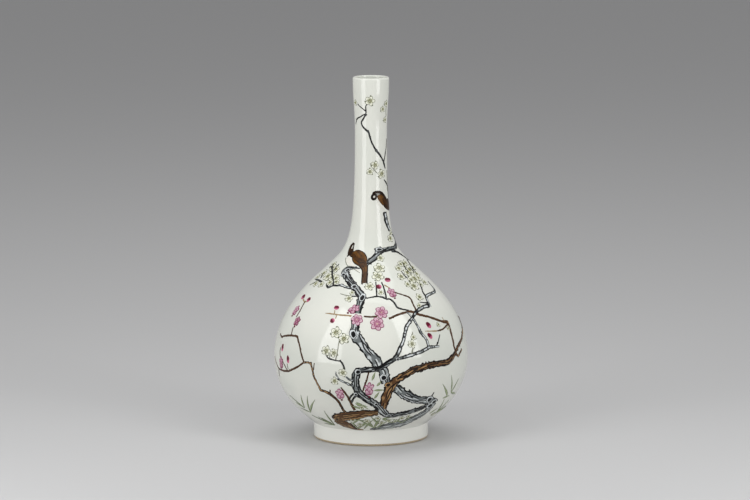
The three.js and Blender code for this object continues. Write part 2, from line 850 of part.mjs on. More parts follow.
addEnamel('brown_trunk', 'brownBark', brownTrunk, greyLowerBranch);
addEnamel('brown_twig_left', 'brownBark', brownTwigLeft, brownTrunkFoot);
addEnamel('brown_twig_foot', 'brownBark', brownTwigFoot, brownTrunkFoot, pinkLowLeft);
addEnamel('brown_twig_right', 'brownBark', brownTwigRight, brownTrunk, greyRightBranch);
addEnamel('brown_twig_centre', 'brownBark', brownTwigCentre, greyRightBranch, pinkUpper, pinkLower);
addEnamel('brown_twig_far_left', 'brownBark', brownTwigFarLeft, pinkLeftUpper, pinkLeftLower);
addEnamel('brown_twig_shoulder', 'brownBark', brownTwigShoulder, pinkShoulder, greyRightBranch);
addEnamel('brown_twig_upper_left', 'brownBark', brownTwigUpperLeft, pinkLeftSide);
addEnamel('back_twig', 'brownBark', backTwig, brownTwigRight);
addEnamel('back_twig_left', 'brownBark', backTwigLeft);

addEnamel('pink_blossom_lower', 'rose', pinkLower);
addEnamel('pink_blossom_upper', 'rose', pinkUpper, pinkLower);
addEnamel('pink_blossom_left_lower', 'rose', pinkLeftLower);
addEnamel('pink_blossom_left_upper', 'rose', pinkLeftUpper, pinkLeftLower);
addEnamel('pink_blossom_shoulder', 'rose', pinkShoulder);
addEnamel('pink_blossom_low_left', 'rose', pinkLowLeft);
addEnamel('pink_blossom_low_centre', 'rose', pinkLowCentre);
addEnamel('pink_blossom_left_side', 'rose', pinkLeftSide);

addEnamel('bud_left_high', 'crimson', bud(-26.6, 148, 3, 2.5));
addEnamel('bud_left_low', 'crimson', bud(-26.9, 135.6, 2.7, 2.7, 130));
addEnamel('bud_shoulder_left', 'crimson', bud(7.8, 168.2, 3, 2.9, 110), thinShoulderTwig);
addEnamel('bud_shoulder_right', 'crimson', bud(18.6, 174, 3.2, 3));
addEnamel('bud_right_high', 'crimson', bud(40.9, 129.4, 2.7, 3.9, 28));
addEnamel('bud_right_low', 'crimson', bud(39.6, 119, 2.5, 3.8, 32));
addEnamel('bud_far_left_high', 'crimson', bud(-65.8, 101, 2.4, 4, 4));
addEnamel('bud_far_left_low', 'crimson', bud(-57.6, 91, 2.4, 4.2, 14));

addEnamel('white_blossom_shoulder', 'whitePetal', blossom(12, 185, 6.4, 20));
addEnamel('white_blossom_right', 'whitePetal', blossom(54, 172.4, 6.8), greyRightBranch);
addEnamel('white_blossom_right_low', 'whitePetal', blossom(44, 156, 4.6, 30), greyRightBranch);
addEnamel('white_blossom_left', 'whitePetal', blossom(-56, 174.4, 6.6, 10), greyShoulderTwig);
addEnamel('white_blossom_neck_high', 'whitePetal', blossom(-3, 356.8, 5.4), neckTwig);
addEnamel('white_blossom_neck_low', 'whitePetal', blossom(14.6, 289.4, 4.4));

addEnamel('bamboo_left', 'bamboo', bambooLeft);
addEnamel('bamboo_left_low', 'bamboo', bambooLeftLow, brownTrunkFoot);
addEnamel('bamboo_centre', 'bamboo', bambooCentre, greyLowerBranch, brownTrunkFoot, greyRoot);
addEnamel('bamboo_right', 'bamboo', bambooRight);
addEnamel('bamboo_right_low', 'bamboo', bambooRightLow);

addEnamel('lower_bird', 'plumage', lowerBird);
addEnamel('upper_bird', 'plumage', upperBird);

export default vase;
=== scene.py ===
import math

import bpy
import numpy as np
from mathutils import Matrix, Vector


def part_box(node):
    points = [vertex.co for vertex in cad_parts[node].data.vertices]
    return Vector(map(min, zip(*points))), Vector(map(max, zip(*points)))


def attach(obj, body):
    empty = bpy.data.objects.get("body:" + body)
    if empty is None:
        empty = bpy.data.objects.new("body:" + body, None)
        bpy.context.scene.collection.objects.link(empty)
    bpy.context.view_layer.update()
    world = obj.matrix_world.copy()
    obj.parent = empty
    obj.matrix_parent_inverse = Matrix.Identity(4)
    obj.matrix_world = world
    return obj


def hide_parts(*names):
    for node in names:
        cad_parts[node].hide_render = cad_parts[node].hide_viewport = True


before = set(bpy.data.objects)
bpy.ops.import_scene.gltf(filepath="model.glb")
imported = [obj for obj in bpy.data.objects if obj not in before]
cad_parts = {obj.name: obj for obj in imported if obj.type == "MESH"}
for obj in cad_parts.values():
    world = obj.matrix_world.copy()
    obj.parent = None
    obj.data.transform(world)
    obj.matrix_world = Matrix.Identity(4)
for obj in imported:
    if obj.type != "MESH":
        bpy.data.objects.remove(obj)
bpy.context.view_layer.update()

# A famille rose bottle vase: turned porcelain in sections, a clear glaze, and a flowering plum, bamboo
# and two birds in thick enamels over it. The sizes in the panel and the studio are in metres, and all
# others in millimetres, which are made metres in the meshes. An azimuth is in degrees round from the
# painted front, positive towards +X.

bl_info = {
    "name": "Famille rose bottle vase",
    "version": (1, 0, 0),
    "blender": (4, 5, 0),
    "location": "View3D > Sidebar > Vase",
    "description": "Turns the vase, glazes it and paints its plum, bamboo and birds",
    "category": "Object",
}

MM = 0.001
BODY = "root"


# Sizes and colours that a user would change


def length(name, description, default):
    return bpy.props.FloatProperty(name=name, description=description, default=default, unit="LENGTH")


def share(name, description, default):
    return bpy.props.FloatProperty(name=name, description=description, default=default, min=0, max=1)


def linear(value):
    value /= 255
    return value / 12.92 if value <= 0.04045 else ((value + 0.055) / 1.055) ** 2.4


def colour(name, description, *screen):
    """A colour property from the 0 to 255 values that it has on a screen."""
    shade = [linear(value) for value in screen]
    return bpy.props.FloatVectorProperty(
        name=name, description=description, subtype="COLOR", size=3, min=0, max=1, default=shade
    )


glaze_low, glaze_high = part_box("outer_glaze")


class VaseForm(bpy.types.PropertyGroup):
    height: length("Height", "Foot to lip", glaze_high.z)
    foot_radius: length("Foot radius", "Outside of the foot ring", 0.0603)
    foot_height: length("Foot height", "Up to the corner under the belly", 0.0165)
    belly_radius: length("Belly radius", "At the widest", (glaze_high.x - glaze_low.x) / 2)
    belly_height: length("Belly height", "Where the belly is widest", 0.0865)
    shoulder_radius: length("Shoulder radius", "Where the shoulder turns into the neck", 0.051)
    shoulder_height: length("Shoulder height", "Where the shoulder turns into the neck", 0.177)
    waist_radius: length("Neck radius", "At the narrowest", 0.01685)
    waist_height: length("Neck waist height", "Where the neck is narrowest", 0.320)
    mouth_radius: length("Mouth radius", "Under the lip", 0.0191)
    bare_rim: length("Bare rim", "Height of the unglazed rim of the foot", 0.0024)
    glaze: length("Glaze thickness", "Square to the wall", 0.0005)
    facets: bpy.props.IntProperty(name="Steps round", description="Steps in each turning", default=144)


class VaseGlaze(bpy.types.PropertyGroup):
    tone: colour("Glaze", "Clear glaze over white porcelain", 226, 227, 218)
    pooled: colour("Pooled glaze", "Where the glaze lies thick", 218, 221, 212)
    # The glaze on the foot is painted light: a whiter colour that lightens the foot where it lies in shade
    # under the belly.
    foot: colour("Glaze on the foot", "Thin over the whitest porcelain", 243, 243, 236)
    bare: colour("Bare porcelain", "Unglazed foot rim", 205, 188, 158)
    roughness: share("Roughness", "Of the fired glaze", 0.07)


class VaseEnamels(bpy.types.PropertyGroup):
    grey_dark: colour("Grey wood outline", "Line of the grey wood", 8, 8, 10)
    grey_mid: colour("Grey wood", "Body of the grey wood", 113, 119, 119)
    grey_light: colour("Grey wood light", "Lit side of the grey wood", 214, 220, 220)
    brown_dark: colour("Brown wood outline", "Line of the brown wood", 24, 12, 6)
    brown_mid: colour("Brown wood", "Body of the brown wood", 94, 62, 34)
    brown_light: colour("Brown wood light", "Lit side of the brown wood", 176, 138, 92)
    rose_dark: colour("Rose line", "Lines of the rose petals", 136, 58, 94)
    rose_mid: colour("Rose", "Roots of the rose petals", 188, 130, 154)
    rose_light: colour("Rose light", "Tips of the rose petals", 214, 180, 193)
    rose_heart: colour("Rose heart", "Hearts of the rose blossoms", 214, 178, 168)
    crimson: colour("Crimson", "Caps of the buds", 98, 10, 40)
    bud_cup: colour("Bud cup", "Under the crimson caps", 196, 96, 130)
    halo: colour("Bud halo", "Thin pink round the buds", 234, 208, 206)
    white_petal: colour("White petal", "Tips of the white petals", 237, 238, 221)
    white_root: colour("White petal root", "Roots of the white petals", 190, 196, 142)
    white_line: colour("White petal line", "Line round the white petals", 80, 86, 48)
    stamen: colour("Stamen", "Hearts of the white blossoms", 158, 150, 80)
    leaf_dark: colour("Leaf line", "Lines of the bamboo leaves", 54, 72, 42)
    leaf_mid: colour("Leaf", "Body of the bamboo leaves", 160, 172, 132)
    faint: colour("Thin wash", "Faint twigs and the line under the breast", 132, 134, 118)
    breast: colour("Breast", "White breasts of the birds", 228, 226, 216)
    bird_dark: colour("Plumage line", "Dark feathers", 22, 10, 2)
    bird_mid: colour("Plumage", "Brown feathers", 74, 44, 10)
    bird_light: colour("Plumage light", "Lit feathers", 106, 68, 20)


class VaseStudio(bpy.types.PropertyGroup):
    distance: length("Camera distance", "From the vase's middle", 4.2)
    elevation: bpy.props.FloatProperty(
        name="Camera elevation", description="Above level", subtype="ANGLE", default=math.radians(8.5)
    )
    floor: colour("Floor", "Paper under and behind the vase", 198, 198, 198)


# The outline of the glazed vase

# Directions in degrees, and how far each curve is pulled as a share of its reach
FOOT_SPREAD_ANGLE = 40
FOOT_SPREAD = 0.18
LOWER_FULLNESS = 0.6
UPPER_FULLNESS = 0.54
SHOULDER_ANGLE = 43.5
SHOULDER_FULLNESS = 0.185
NECK_SWEEP = 0.8
NECK_STRAIGHTNESS = 0.846
WAIST_EASE = 0.5
MOUTH_EASE = 0.43
# Points on each curve, and the millimetres over which its slope is read
CURVE_POINTS = 600
SLOPE_REACH = 0.3


def upright(start, pull, end):
    """Where a curve that leaves its start straight up or down is pulled to, on its way to its end."""
    return np.array([start[0], start[1] + pull * (end[1] - start[1])])


class Outline:
    """Radius of the glazed vase at each height, in millimetres, from four smooth curves."""

    def __init__(self, form):
        foot, belly, shoulder, waist = (
            np.array([getattr(form, name + "_radius"), getattr(form, name + "_height")]) / MM
            for name in ("foot", "belly", "shoulder", "waist")
        )
        mouth = np.array([form.mouth_radius, form.height]) / MM
        outward = np.array([1, math.tan(math.radians(FOOT_SPREAD_ANGLE))])
        inward = np.array([-1, math.tan(math.radians(SHOULDER_ANGLE))])
        over_foot = foot + FOOT_SPREAD * (belly[0] - foot[0]) * outward
        under_shoulder = shoulder - SHOULDER_FULLNESS * (belly[0] - shoulder[0]) * inward
        over_shoulder = shoulder + NECK_SWEEP * (shoulder[0] - waist[0]) * inward
        curves = [
            (foot, over_foot, upright(belly, LOWER_FULLNESS, foot), belly),
            (belly, upright(belly, UPPER_FULLNESS, shoulder), under_shoulder, shoulder),
            (shoulder, over_shoulder, upright(waist, NECK_STRAIGHTNESS, shoulder), waist),
            (waist, upright(waist, WAIST_EASE, mouth), upright(mouth, MOUTH_EASE, waist), mouth),
        ]
        at = np.linspace(0, 1, CURVE_POINTS)[:, None]
        points = [
            (1 - at) ** 3 * a + 3 * (1 - at) ** 2 * at * b + 3 * (1 - at) * at**2 * c + at**3 * d
            for a, b, c, d in curves
        ]
        self.radii, self.heights = np.concatenate([[[foot[0], 0]], *points]).T

    def radius(self, height):
        return np.interp(height, self.heights, self.radii)

    def slope(self, height):
        return (self.radius(height + SLOPE_REACH) - self.radius(height - SLOPE_REACH)) / (2 * SLOPE_REACH)

    def slant(self, height):
        return np.hypot(1, self.slope(height))

    def step(self, azimuth, height, x, y):
        """The azimuth and height x to the right and y up along the wall."""
        top = height + y / self.slant(height)
        return azimuth + np.degrees(x / self.radius(top)), top

    def ray(self, azimuth, height, reach, turn):
        """The azimuth and height at a reach along the wall, at a turn from the right."""
        return self.step(azimuth, height, reach * math.cos(turn), reach * math.sin(turn))

    def place(self, azimuth, height, lift):
        """Points in metres, at a lift square to the wall."""
        slope = self.slope(height)
        square = np.hypot(1, slope)
        radius = self.radius(height) + lift / square
        angle = np.radians(azimuth)
        points = [radius * np.sin(angle), -radius * np.cos(angle), height - lift * slope / square]
        return np.stack(points, axis=-1) * MM


# Making a piece


def open_piece(mesh):
    """The mesh as an object with all of it selected in Edit Mode."""
    piece = bpy.data.objects.new(mesh.name, mesh)
    bpy.context.collection.objects.link(piece)
    bpy.ops.object.select_all(action="DESELECT")
    bpy.context.view_layer.objects.active = piece
    piece.select_set(True)
    bpy.ops.object.mode_set(mode="EDIT")
    bpy.ops.mesh.select_all(action="SELECT")
    return piece


def close_piece(piece, node, material, crease):
    """Turns the faces outward, smooths them up to the crease's degrees, and hands the piece to the frame."""
    bpy.ops.mesh.normals_make_consistent(inside=False)
    bpy.ops.object.mode_set(mode="OBJECT")
    bpy.ops.object.shade_smooth_by_angle(angle=math.radians(crease))
    piece.select_set(False)
    piece.data.materials.append(material)
    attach(piece, BODY)
    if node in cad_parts:
        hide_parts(node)


# Brush work on the outline

LATTICE = 64
# How deep the edge of an enamel lies in the glaze, how softly a stroke turns, and how far a disc is domed
SINK = 0.12
SOFT = 0.7
CROWN = 0.35
# Lumps of noise in each millimetre: of a ragged edge, of its thorns, and of the places that have thorns
RAGGED_PACE = 0.45
THORN_PACE = 0.62
THICKET_PACE = 0.13
ENAMEL_CREASE = 70


def mottle(x, y, seed):
    """Smooth noise from 0 to 1, one lump per unit of x and y."""
    lattice = np.random.RandomState(seed).rand(LATTICE, LATTICE)
    x, y = np.broadcast_arrays(np.asarray(x, float), np.asarray(y, float))
    left, low = np.floor(x).astype(int), np.floor(y).astype(int)
    u, v = x - left, y - low
    u, v = u * u * (3 - 2 * u), v * v * (3 - 2 * v)
    corner = [[lattice[(left + i) % LATTICE, (low + j) % LATTICE] for j in (0, 1)] for i in (0, 1)]
    near = corner[0][0] * (1 - v) + corner[0][1] * v
    far = corner[1][0] * (1 - v) + corner[1][1] * v
    return near * (1 - u) + far * u


def ease(low, high, value):
    """A smooth rise from 0 at the low value to 1 at the high one."""
    step = np.clip((value - low) / (high - low), 0, 1)
    return step * step * (3 - 2 * step)


def mix(first, second, amount):
    """Between two colours, by an amount from 0 to 1 at each point."""
    return first + (second - first) * np.asarray(amount)[..., None]


def turned(x, y, lean):
    """A place turned round the middle by a lean in radians."""
    return x * math.cos(lean) - y * math.sin(lean), x * math.sin(lean) + y * math.cos(lean)


def stray(across, along, ragged, thorns, seed):
    """How far a stroke's edge strays: a ragged share of its width, and thorns in millimetres."""
    side = np.sign(across) * 3 + 9
    wobble = 1 + ragged * (2 * mottle(along * RAGGED_PACE, side, seed) - 1)
    sparse = ease(0.3, 0.7, mottle(along * THICKET_PACE, side, seed + 6))
    spur = thorns * sparse * ease(0.66, 0.95, mottle(along * THORN_PACE, side, seed + 5))
    return wobble, np.sign(across) * (spur * np.abs(across) ** 3)


def ribbon(rows, wide):
    """Faces over a ribbon's points, under it and at its two ends."""
    starts = range(0, (rows - 1) * wide, wide)
    over = [[s + c, s + c + 1, s + wide + c + 1, s + wide + c] for s in starts for c in range(wide - 1)]
    under = [[s + wide, s + 2 * wide - 1, s + wide - 1, s] for s in starts]
    last = (rows - 1) * wide
    return over + under + [list(range(wide - 1, -1, -1)), list(range(last, last + wide))]


class Painting:
    """Patches of enamel on the outline, gathered into one mesh with a painted colour at each point."""

    def __init__(self, outline):
        self.outline = outline
        self.points = []
        self.tints = []
        self.faces = []
        self.count = 0

    def patch(self, azimuth, height, lift, tint, faces):
        points = self.outline.place(azimuth, height, lift).reshape(-1, 3)
        self.points.append(points)
        self.tints.append(np.broadcast_to(tint, (*np.shape(azimuth), 3)).reshape(-1, 3))
        self.faces += [[self.count + corner for corner in face] for face in faces]
        self.count += len(points)

    def smooth(self, path, pace):
        """Points about a pace apart on a smooth line through the path's (azimuth, height, half width)."""
        tangents = SOFT * np.gradient(path, axis=0)
        samples = []
        for i in range(len(path) - 1):
            aside = np.radians(path[i + 1, 0] - path[i, 0]) * self.outline.radius(path[i, 1])
            upward = (path[i + 1, 1] - path[i, 1]) * self.outline.slant(path[i, 1])
            count = max(2, math.ceil(math.hypot(aside, upward) / pace))
            at = np.linspace(0, 1, count, endpoint=False)[:, None]
            samples.append(
                (2 * at**3 - 3 * at**2 + 1) * path[i]
                + (at**3 - 2 * at**2 + at) * tangents[i]
                + (3 * at**2 - 2 * at**3) * path[i + 1]
                + (at**3 - at**2) * tangents[i + 1]
            )
        return np.concatenate([*samples, path[-1:]])

    def stroke(self, path, tint, relief, columns=8, pace=0.7, ragged=0.0, thorns=0.0, seed=1):
        """A closed ribbon through (azimuth, height, half width), painted by tint(across, along, half)."""
        azimuth, height, half = self.smooth(np.array(path, float), pace).T[..., None]
        aside = np.radians(np.gradient(azimuth, axis=0)) * self.outline.radius(height)
        upward = np.gradient(height, axis=0) * self.outline.slant(height)
        stride = np.hypot(aside, upward)
        along = np.cumsum(stride, axis=0)
        across = np.linspace(-1, 1, columns + 1)
        wobble, spur = stray(across, along, ragged, thorns, seed)
        reach = half * across * wobble + spur
        places = self.outline.step(azimuth, height, upward / stride * reach, -aside / stride * reach)
        dome = 1 - np.abs(across) ** 5
        lift = -SINK + (relief + SINK) * dome * np.ones_like(reach)
        lift[[0, -1]] = -SINK
        paint = tint(*np.broadcast_arrays(across, along, half))
        self.patch(*places, lift, paint, ribbon(len(along), columns + 1))

    def disc(self, azimuth, height, edge, tint, tilt=0, relief=0.3, rings=10, sectors=48):
        """A closed patch round a centre. edge(turn) gives its outline, and tint paints its share and turn."""
        turn = np.linspace(0, 2 * math.pi, sectors, endpoint=False)
        shares = np.linspace(0, 1, rings + 1)[1:]
        x, y = (
            np.concatenate([[0], (shares[:, None] * part).ravel()])
            for part in turned(*edge(turn), math.radians(tilt))
        )
        share_of = np.concatenate([[0], np.repeat(shares, sectors)])
        turn_of = np.concatenate([[0], np.tile(turn, rings)])
        places = self.outline.step(np.full_like(x, azimuth), np.full_like(y, height), x, y)
        lift = np.where(share_of == 1, -SINK, relief * (1 - CROWN * share_of**4))
        around = [(k, (k + 1) % sectors) for k in range(sectors)]
        faces = [[0, 1 + k, 1 + after] for k, after in around]
        for inner in range(1, 1 + (rings - 1) * sectors, sectors):
            outer = inner + sectors
            faces += [[inner + k, outer + k, outer + after, inner + after] for k, after in around]
        last = 1 + (rings - 1) * sectors
        faces.append([last + k for k in range(sectors - 1, -1, -1)])
        self.patch(*places, lift, tint(share_of, turn_of), faces)

    def piece(self, node, material, slot):
        """The gathered mesh as a piece that stands for a node."""
        mesh = bpy.data.meshes.new(node + "_painted")
        mesh.from_pydata(np.concatenate(self.points).tolist(), [], self.faces)
        tints = np.concatenate(self.tints)
        layer = mesh.color_attributes.new("paint", "FLOAT_COLOR", "POINT")
        layer.data.foreach_set("color", np.column_stack([tints, np.ones(len(tints))]).ravel())
        close_piece(open_piece(mesh), node, material, ENAMEL_CREASE)


# Materials


def node_tree(name):
    material = bpy.data.materials.new(name)
    material.use_nodes = True
    nodes = material.node_tree.nodes
    return material, nodes, material.node_tree.links, nodes["Principled BSDF"]


def object_place(nodes):
    return nodes.new("ShaderNodeTexCoord").outputs["Object"]


def noise_node(nodes, links, scale, detail=2):
    noise = nodes.new("ShaderNodeTexNoise")
    noise.inputs["Scale"].default_value = scale
    noise.inputs["Detail"].default_value = detail
    links.new(object_place(nodes), noise.inputs["Vector"])
    return noise.outputs["Fac"]


def ramp_node(nodes, links, factor, *stops):
    """A colour between two stops, each of them a place and a colour."""
    ramp = nodes.new("ShaderNodeValToRGB")
    for element, (position, shade) in zip(ramp.color_ramp.elements, stops):
        element.position = position
        element.color = (*shade, 1)
    links.new(factor, ramp.inputs["Fac"])
    return ramp.outputs["Color"]


def bump_node(nodes, links, height, strength, distance):
    bump = nodes.new("ShaderNodeBump")
    bump.inputs["Strength"].default_value = strength
    bump.inputs["Distance"].default_value = distance
    links.new(height, bump.inputs["Height"])
    return bump.outputs["Normal"]


# Heights in metres between which the painted light that whitens the foot gives way to the belly's glaze
FOOT_PAINTED_LIGHT = (0.018, 0.06)


def glaze_material(look):
    """White porcelain under a clear glaze that pools a little cooler in places, with painted light that
    whitens the foot.
    """
    material, nodes, links, surface = node_tree("clear_glaze_over_porcelain")
    pools = ramp_node(nodes, links, noise_node(nodes, links, 14), (0.35, look.pooled), (0.6, look.tone))
    parts = nodes.new("ShaderNodeSeparateXYZ")
    links.new(object_place(nodes), parts.inputs["Vector"])
    upward = nodes.new("ShaderNodeMapRange")
    upward.inputs["From Min"].default_value, upward.inputs["From Max"].default_value = FOOT_PAINTED_LIGHT
    links.new(parts.outputs["Z"], upward.inputs["Value"])
    # Painted light: low down, the glaze gives way to the whiter foot colour.
    body = nodes.new("ShaderNodeMixRGB")
    body.inputs["Color1"].default_value = (*look.foot, 1)
    links.new(upward.outputs["Result"], body.inputs["Fac"])
    links.new(pools, body.inputs["Color2"])
    links.new(body.outputs["Color"], surface.inputs["Base Color"])
    surface.inputs["Roughness"].default_value = look.roughness
    surface.inputs["IOR"].default_value = 1.5
    ripple = noise_node(nodes, links, 90)
    links.new(bump_node(nodes, links, ripple, strength=0.12, distance=0.0004), surface.inputs["Normal"])
    return material


def porcelain_material(look):
    """Bare fired porcelain: matte, buff, with a fine grain and a few darker specks."""
    material, nodes, links, surface = node_tree("bare_buff_porcelain")
    grain = noise_node(nodes, links, 900, detail=4)
    speck = [0.72 * part for part in look.bare]
    links.new(ramp_node(nodes, links, grain, (0.3, speck), (0.62, look.bare)), surface.inputs["Base Color"])
    surface.inputs["Roughness"].default_value = 0.75
    links.new(bump_node(nodes, links, grain, strength=0.3, distance=0.0002), surface.inputs["Normal"])
    return material


def enamel_material():
    """Thick glossy enamel in the painted colour, slightly uneven in tone and in its surface."""
    material, nodes, links, surface = node_tree("overglaze_enamel")
    paint = nodes.new("ShaderNodeVertexColor")
    paint.layer_name = "paint"
    uneven = noise_node(nodes, links, 700, detail=3)
    shade = nodes.new("ShaderNodeMapRange")
    shade.inputs["To Min"].default_value = 0.86
    shade.inputs["To Max"].default_value = 1.08
    links.new(uneven, shade.inputs["Value"])
    tint = nodes.new("ShaderNodeVectorMath")
    tint.operation = "SCALE"
    links.new(paint.outputs["Color"], tint.inputs[0])
    links.new(shade.outputs["Result"], tint.inputs["Scale"])
    links.new(tint.outputs["Vector"], surface.inputs["Base Color"])
    surface.inputs["Roughness"].default_value = 0.3
    surface.inputs["Specular IOR Level"].default_value = 0.22
    links.new(bump_node(nodes, links, uneven, strength=0.25, distance=0.0002), surface.inputs["Normal"])
    return material


def shared_material(name, make, *look):
    return bpy.data.materials.get(name) or make(*look)


# Turned pieces

# Seats, walls, floor and recess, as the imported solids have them
COAT_SEAT = 0.05
FOOT_WALL = 7
FOOT_EDGE = 1.3
# How much of the foot's edge the middle of its rounding keeps, inside and outside
INNER_ROUND, OUTER_ROUND = 0.4, 0.35
RECESS_DEPTH = 9
RECESS_TAPER = 1.4
FLOOR_THICKNESS = 7
FLOOR_TOP = RECESS_DEPTH + FLOOR_THICKNESS
FLOOR_CURVE = 17
FLOOR_CURVE_EASE = 4
FLOOR_CURVE_POINTS = 9
LIP_ROUND = 2.4
LIP_TURN = 15
SLIP = 1
SEAM_RISES = {"foot": 13.5, "belly": 5.5, "neck": 19}
WALLS = {"foot": 5.6, "belly": 4.6, "neck": 4, "waist": 2.6, "lip": 1.6}
GLAZE_PACE = 2
PORCELAIN_CREASE = 35
WELD = 1e-6


def turned_piece(node, profile, material, facets):
    """A closed solid spun round the axis from an outline of (radius, height) in millimetres."""
    mesh = bpy.data.meshes.new(node + "_turned")
    points = [(radius * MM, 0, height * MM) for radius, height in profile]
    edges = [(i, i + 1) for i in range(len(points) - 1)]
    if profile[0][0] != 0:
        edges.append((len(points) - 1, 0))
    mesh.from_pydata(points, edges, [])
    piece = open_piece(mesh)
    bpy.ops.mesh.spin(steps=facets, angle=2 * math.pi, center=(0, 0, 0), axis=(0, 0, 1))
    bpy.ops.mesh.select_all(action="SELECT")
    bpy.ops.mesh.remove_doubles(threshold=WELD)
    close_piece(piece, node, material, PORCELAIN_CREASE)


class Wall:
    """The wall's surfaces from the outside in, each as (radius, height) at a height."""

    def __init__(self, form):
        self.outline = Outline(form)
        self.glaze = form.glaze / MM
        self.foot_height = form.foot_height / MM
        self.bare_rim = form.bare_rim / MM
        self.lip_base = form.height / MM - LIP_ROUND
        self.foot_seam = self.foot_height + SEAM_RISES["foot"]
        self.belly_seam = form.belly_height / MM + SEAM_RISES["belly"]
        self.neck_seam = form.shoulder_height / MM + SEAM_RISES["neck"]
        self.levels = [self.foot_seam, self.belly_seam, self.neck_seam, form.waist_height / MM, self.lip_base]
        self.foot_outside = form.foot_radius / MM - self.glaze
        self.foot_inside = self.foot_outside - FOOT_WALL
        self.recess_corner = self.foot_inside - RECESS_TAPER
        self.recess_glaze_end = self.foot_inside - RECESS_TAPER * self.bare_rim / RECESS_DEPTH

    def surface(self, heights, depth, inside=False):
        heights = np.asarray(heights, float)
        thickness = np.interp(heights, self.levels, list(WALLS.values())) if inside else 0
        inward = (depth + thickness) * self.outline.slant(heights)
        return list(zip(self.outline.radius(heights) - inward, heights))

    def outside(self, heights):
        return self.surface(heights, 0)

    def body_outside(self, heights):
        return self.surface(heights, self.glaze)

    def outer_glaze_back(self, heights):
        return self.surface(heights, self.glaze - COAT_SEAT)

    def body_inside(self, heights):
        return self.surface(heights, self.glaze, inside=True)

    def inner_glaze_back(self, heights):
        return self.surface(heights, self.glaze + COAT_SEAT, inside=True)

    def inside(self, heights):
        return self.surface(heights, 2 * self.glaze, inside=True)

    def section(self, heights):
        """The porcelain between two heights, as a closed outline."""
        return self.body_outside(heights) + back(self.body_inside(heights))

    def lip(self, outer, inner, rise):
        """The rounded lip from its outer to its inner foot."""
        centre = (outer[0] + inner[0]) / 2
        half = (outer[0] - inner[0]) / 2
        turns = np.radians(np.arange(LIP_TURN, 180, LIP_TURN))
        return [(centre + half * math.cos(t), self.lip_base + rise * math.sin(t)) for t in turns]

    def floor(self, lift):
        """The floor's curve up to the wall."""
        edge = self.body_inside([self.foot_seam - SLIP / 2])[0]
        end = np.array([edge[0] - lift * self.outline.slant(edge[1]), edge[1]])
        start = np.array([edge[0] - FLOOR_CURVE - lift / 2, FLOOR_TOP + lift])
        control = start + [FLOOR_CURVE_EASE, 0]
        return [
            tuple((1 - at) ** 2 * start + 2 * at * (1 - at) * control + at**2 * end)
            for at in np.linspace(0, 1, FLOOR_CURVE_POINTS)[:-1]
        ]


def rise(low, high, pace=3.0):
    """Heights from low to high, at most a pace apart."""
    return np.linspace(low, high, max(3, math.ceil((high - low) / pace)))


def back(points):
    return list(reversed(points))


class VASE_OT_porcelain(bpy.types.Operator):
    """Turns the luted porcelain sections and the rings of slip between them"""

    bl_idname = "vase.porcelain"
    bl_label = "Porcelain sections"

    def execute(self, context):
        form = context.scene.vase_form
        wall = Wall(form)
        bare = shared_material("bare_buff_porcelain", porcelain_material, context.scene.vase_glaze)
        joint = SLIP / 2
        neck = rise(wall.neck_seam + joint, wall.lip_base)
        neck_outside, neck_inside = wall.body_outside(neck), wall.body_inside(neck)
        lip = wall.lip(neck_outside[-1], neck_inside[-1], LIP_ROUND - wall.glaze)
        sections = {
            "foot_section": self.foot(wall),
            "lower_belly": wall.section(rise(wall.foot_seam + joint, wall.belly_seam - joint)),
            "upper_belly": wall.section(rise(wall.belly_seam + joint, wall.neck_seam - joint)),
            "neck": neck_outside + lip + back(neck_inside),
        }
        for node, profile in sections.items():
            turned_piece(node, profile, bare, form.facets)
        seams = {
            "foot_seam_slip": wall.foot_seam,
            "belly_seam_slip": wall.belly_seam,
            "neck_seam_slip": wall.neck_seam,
        }
        for node, height in seams.items():
            ring = wall.section([height - joint, height + joint])
            turned_piece(node, ring, bare, form.facets)
        return {"FINISHED"}

    def foot(self, wall):
        """The foot ring with its floor, and the recess turned under it."""
        inner, outer = wall.foot_inside, wall.foot_outside
        wall_rise = rise(wall.foot_height, wall.foot_seam - SLIP / 2)
        return [
            (0, RECESS_DEPTH),
            (wall.recess_corner, RECESS_DEPTH),
            (wall.recess_glaze_end, wall.bare_rim),
            (inner, FOOT_EDGE),
            (inner + INNER_ROUND * FOOT_EDGE, INNER_ROUND * FOOT_EDGE),
            (inner + FOOT_EDGE, 0),
            (outer - FOOT_EDGE, 0),
            (outer - OUTER_ROUND * FOOT_EDGE, OUTER_ROUND * FOOT_EDGE),
            (outer, FOOT_EDGE),
            (outer, wall.bare_rim),
            *wall.body_outside(wall_rise),
            *wall.body_inside(wall_rise[-1:]),
            *back(wall.floor(0)),
            (0, FLOOR_TOP),
        ]


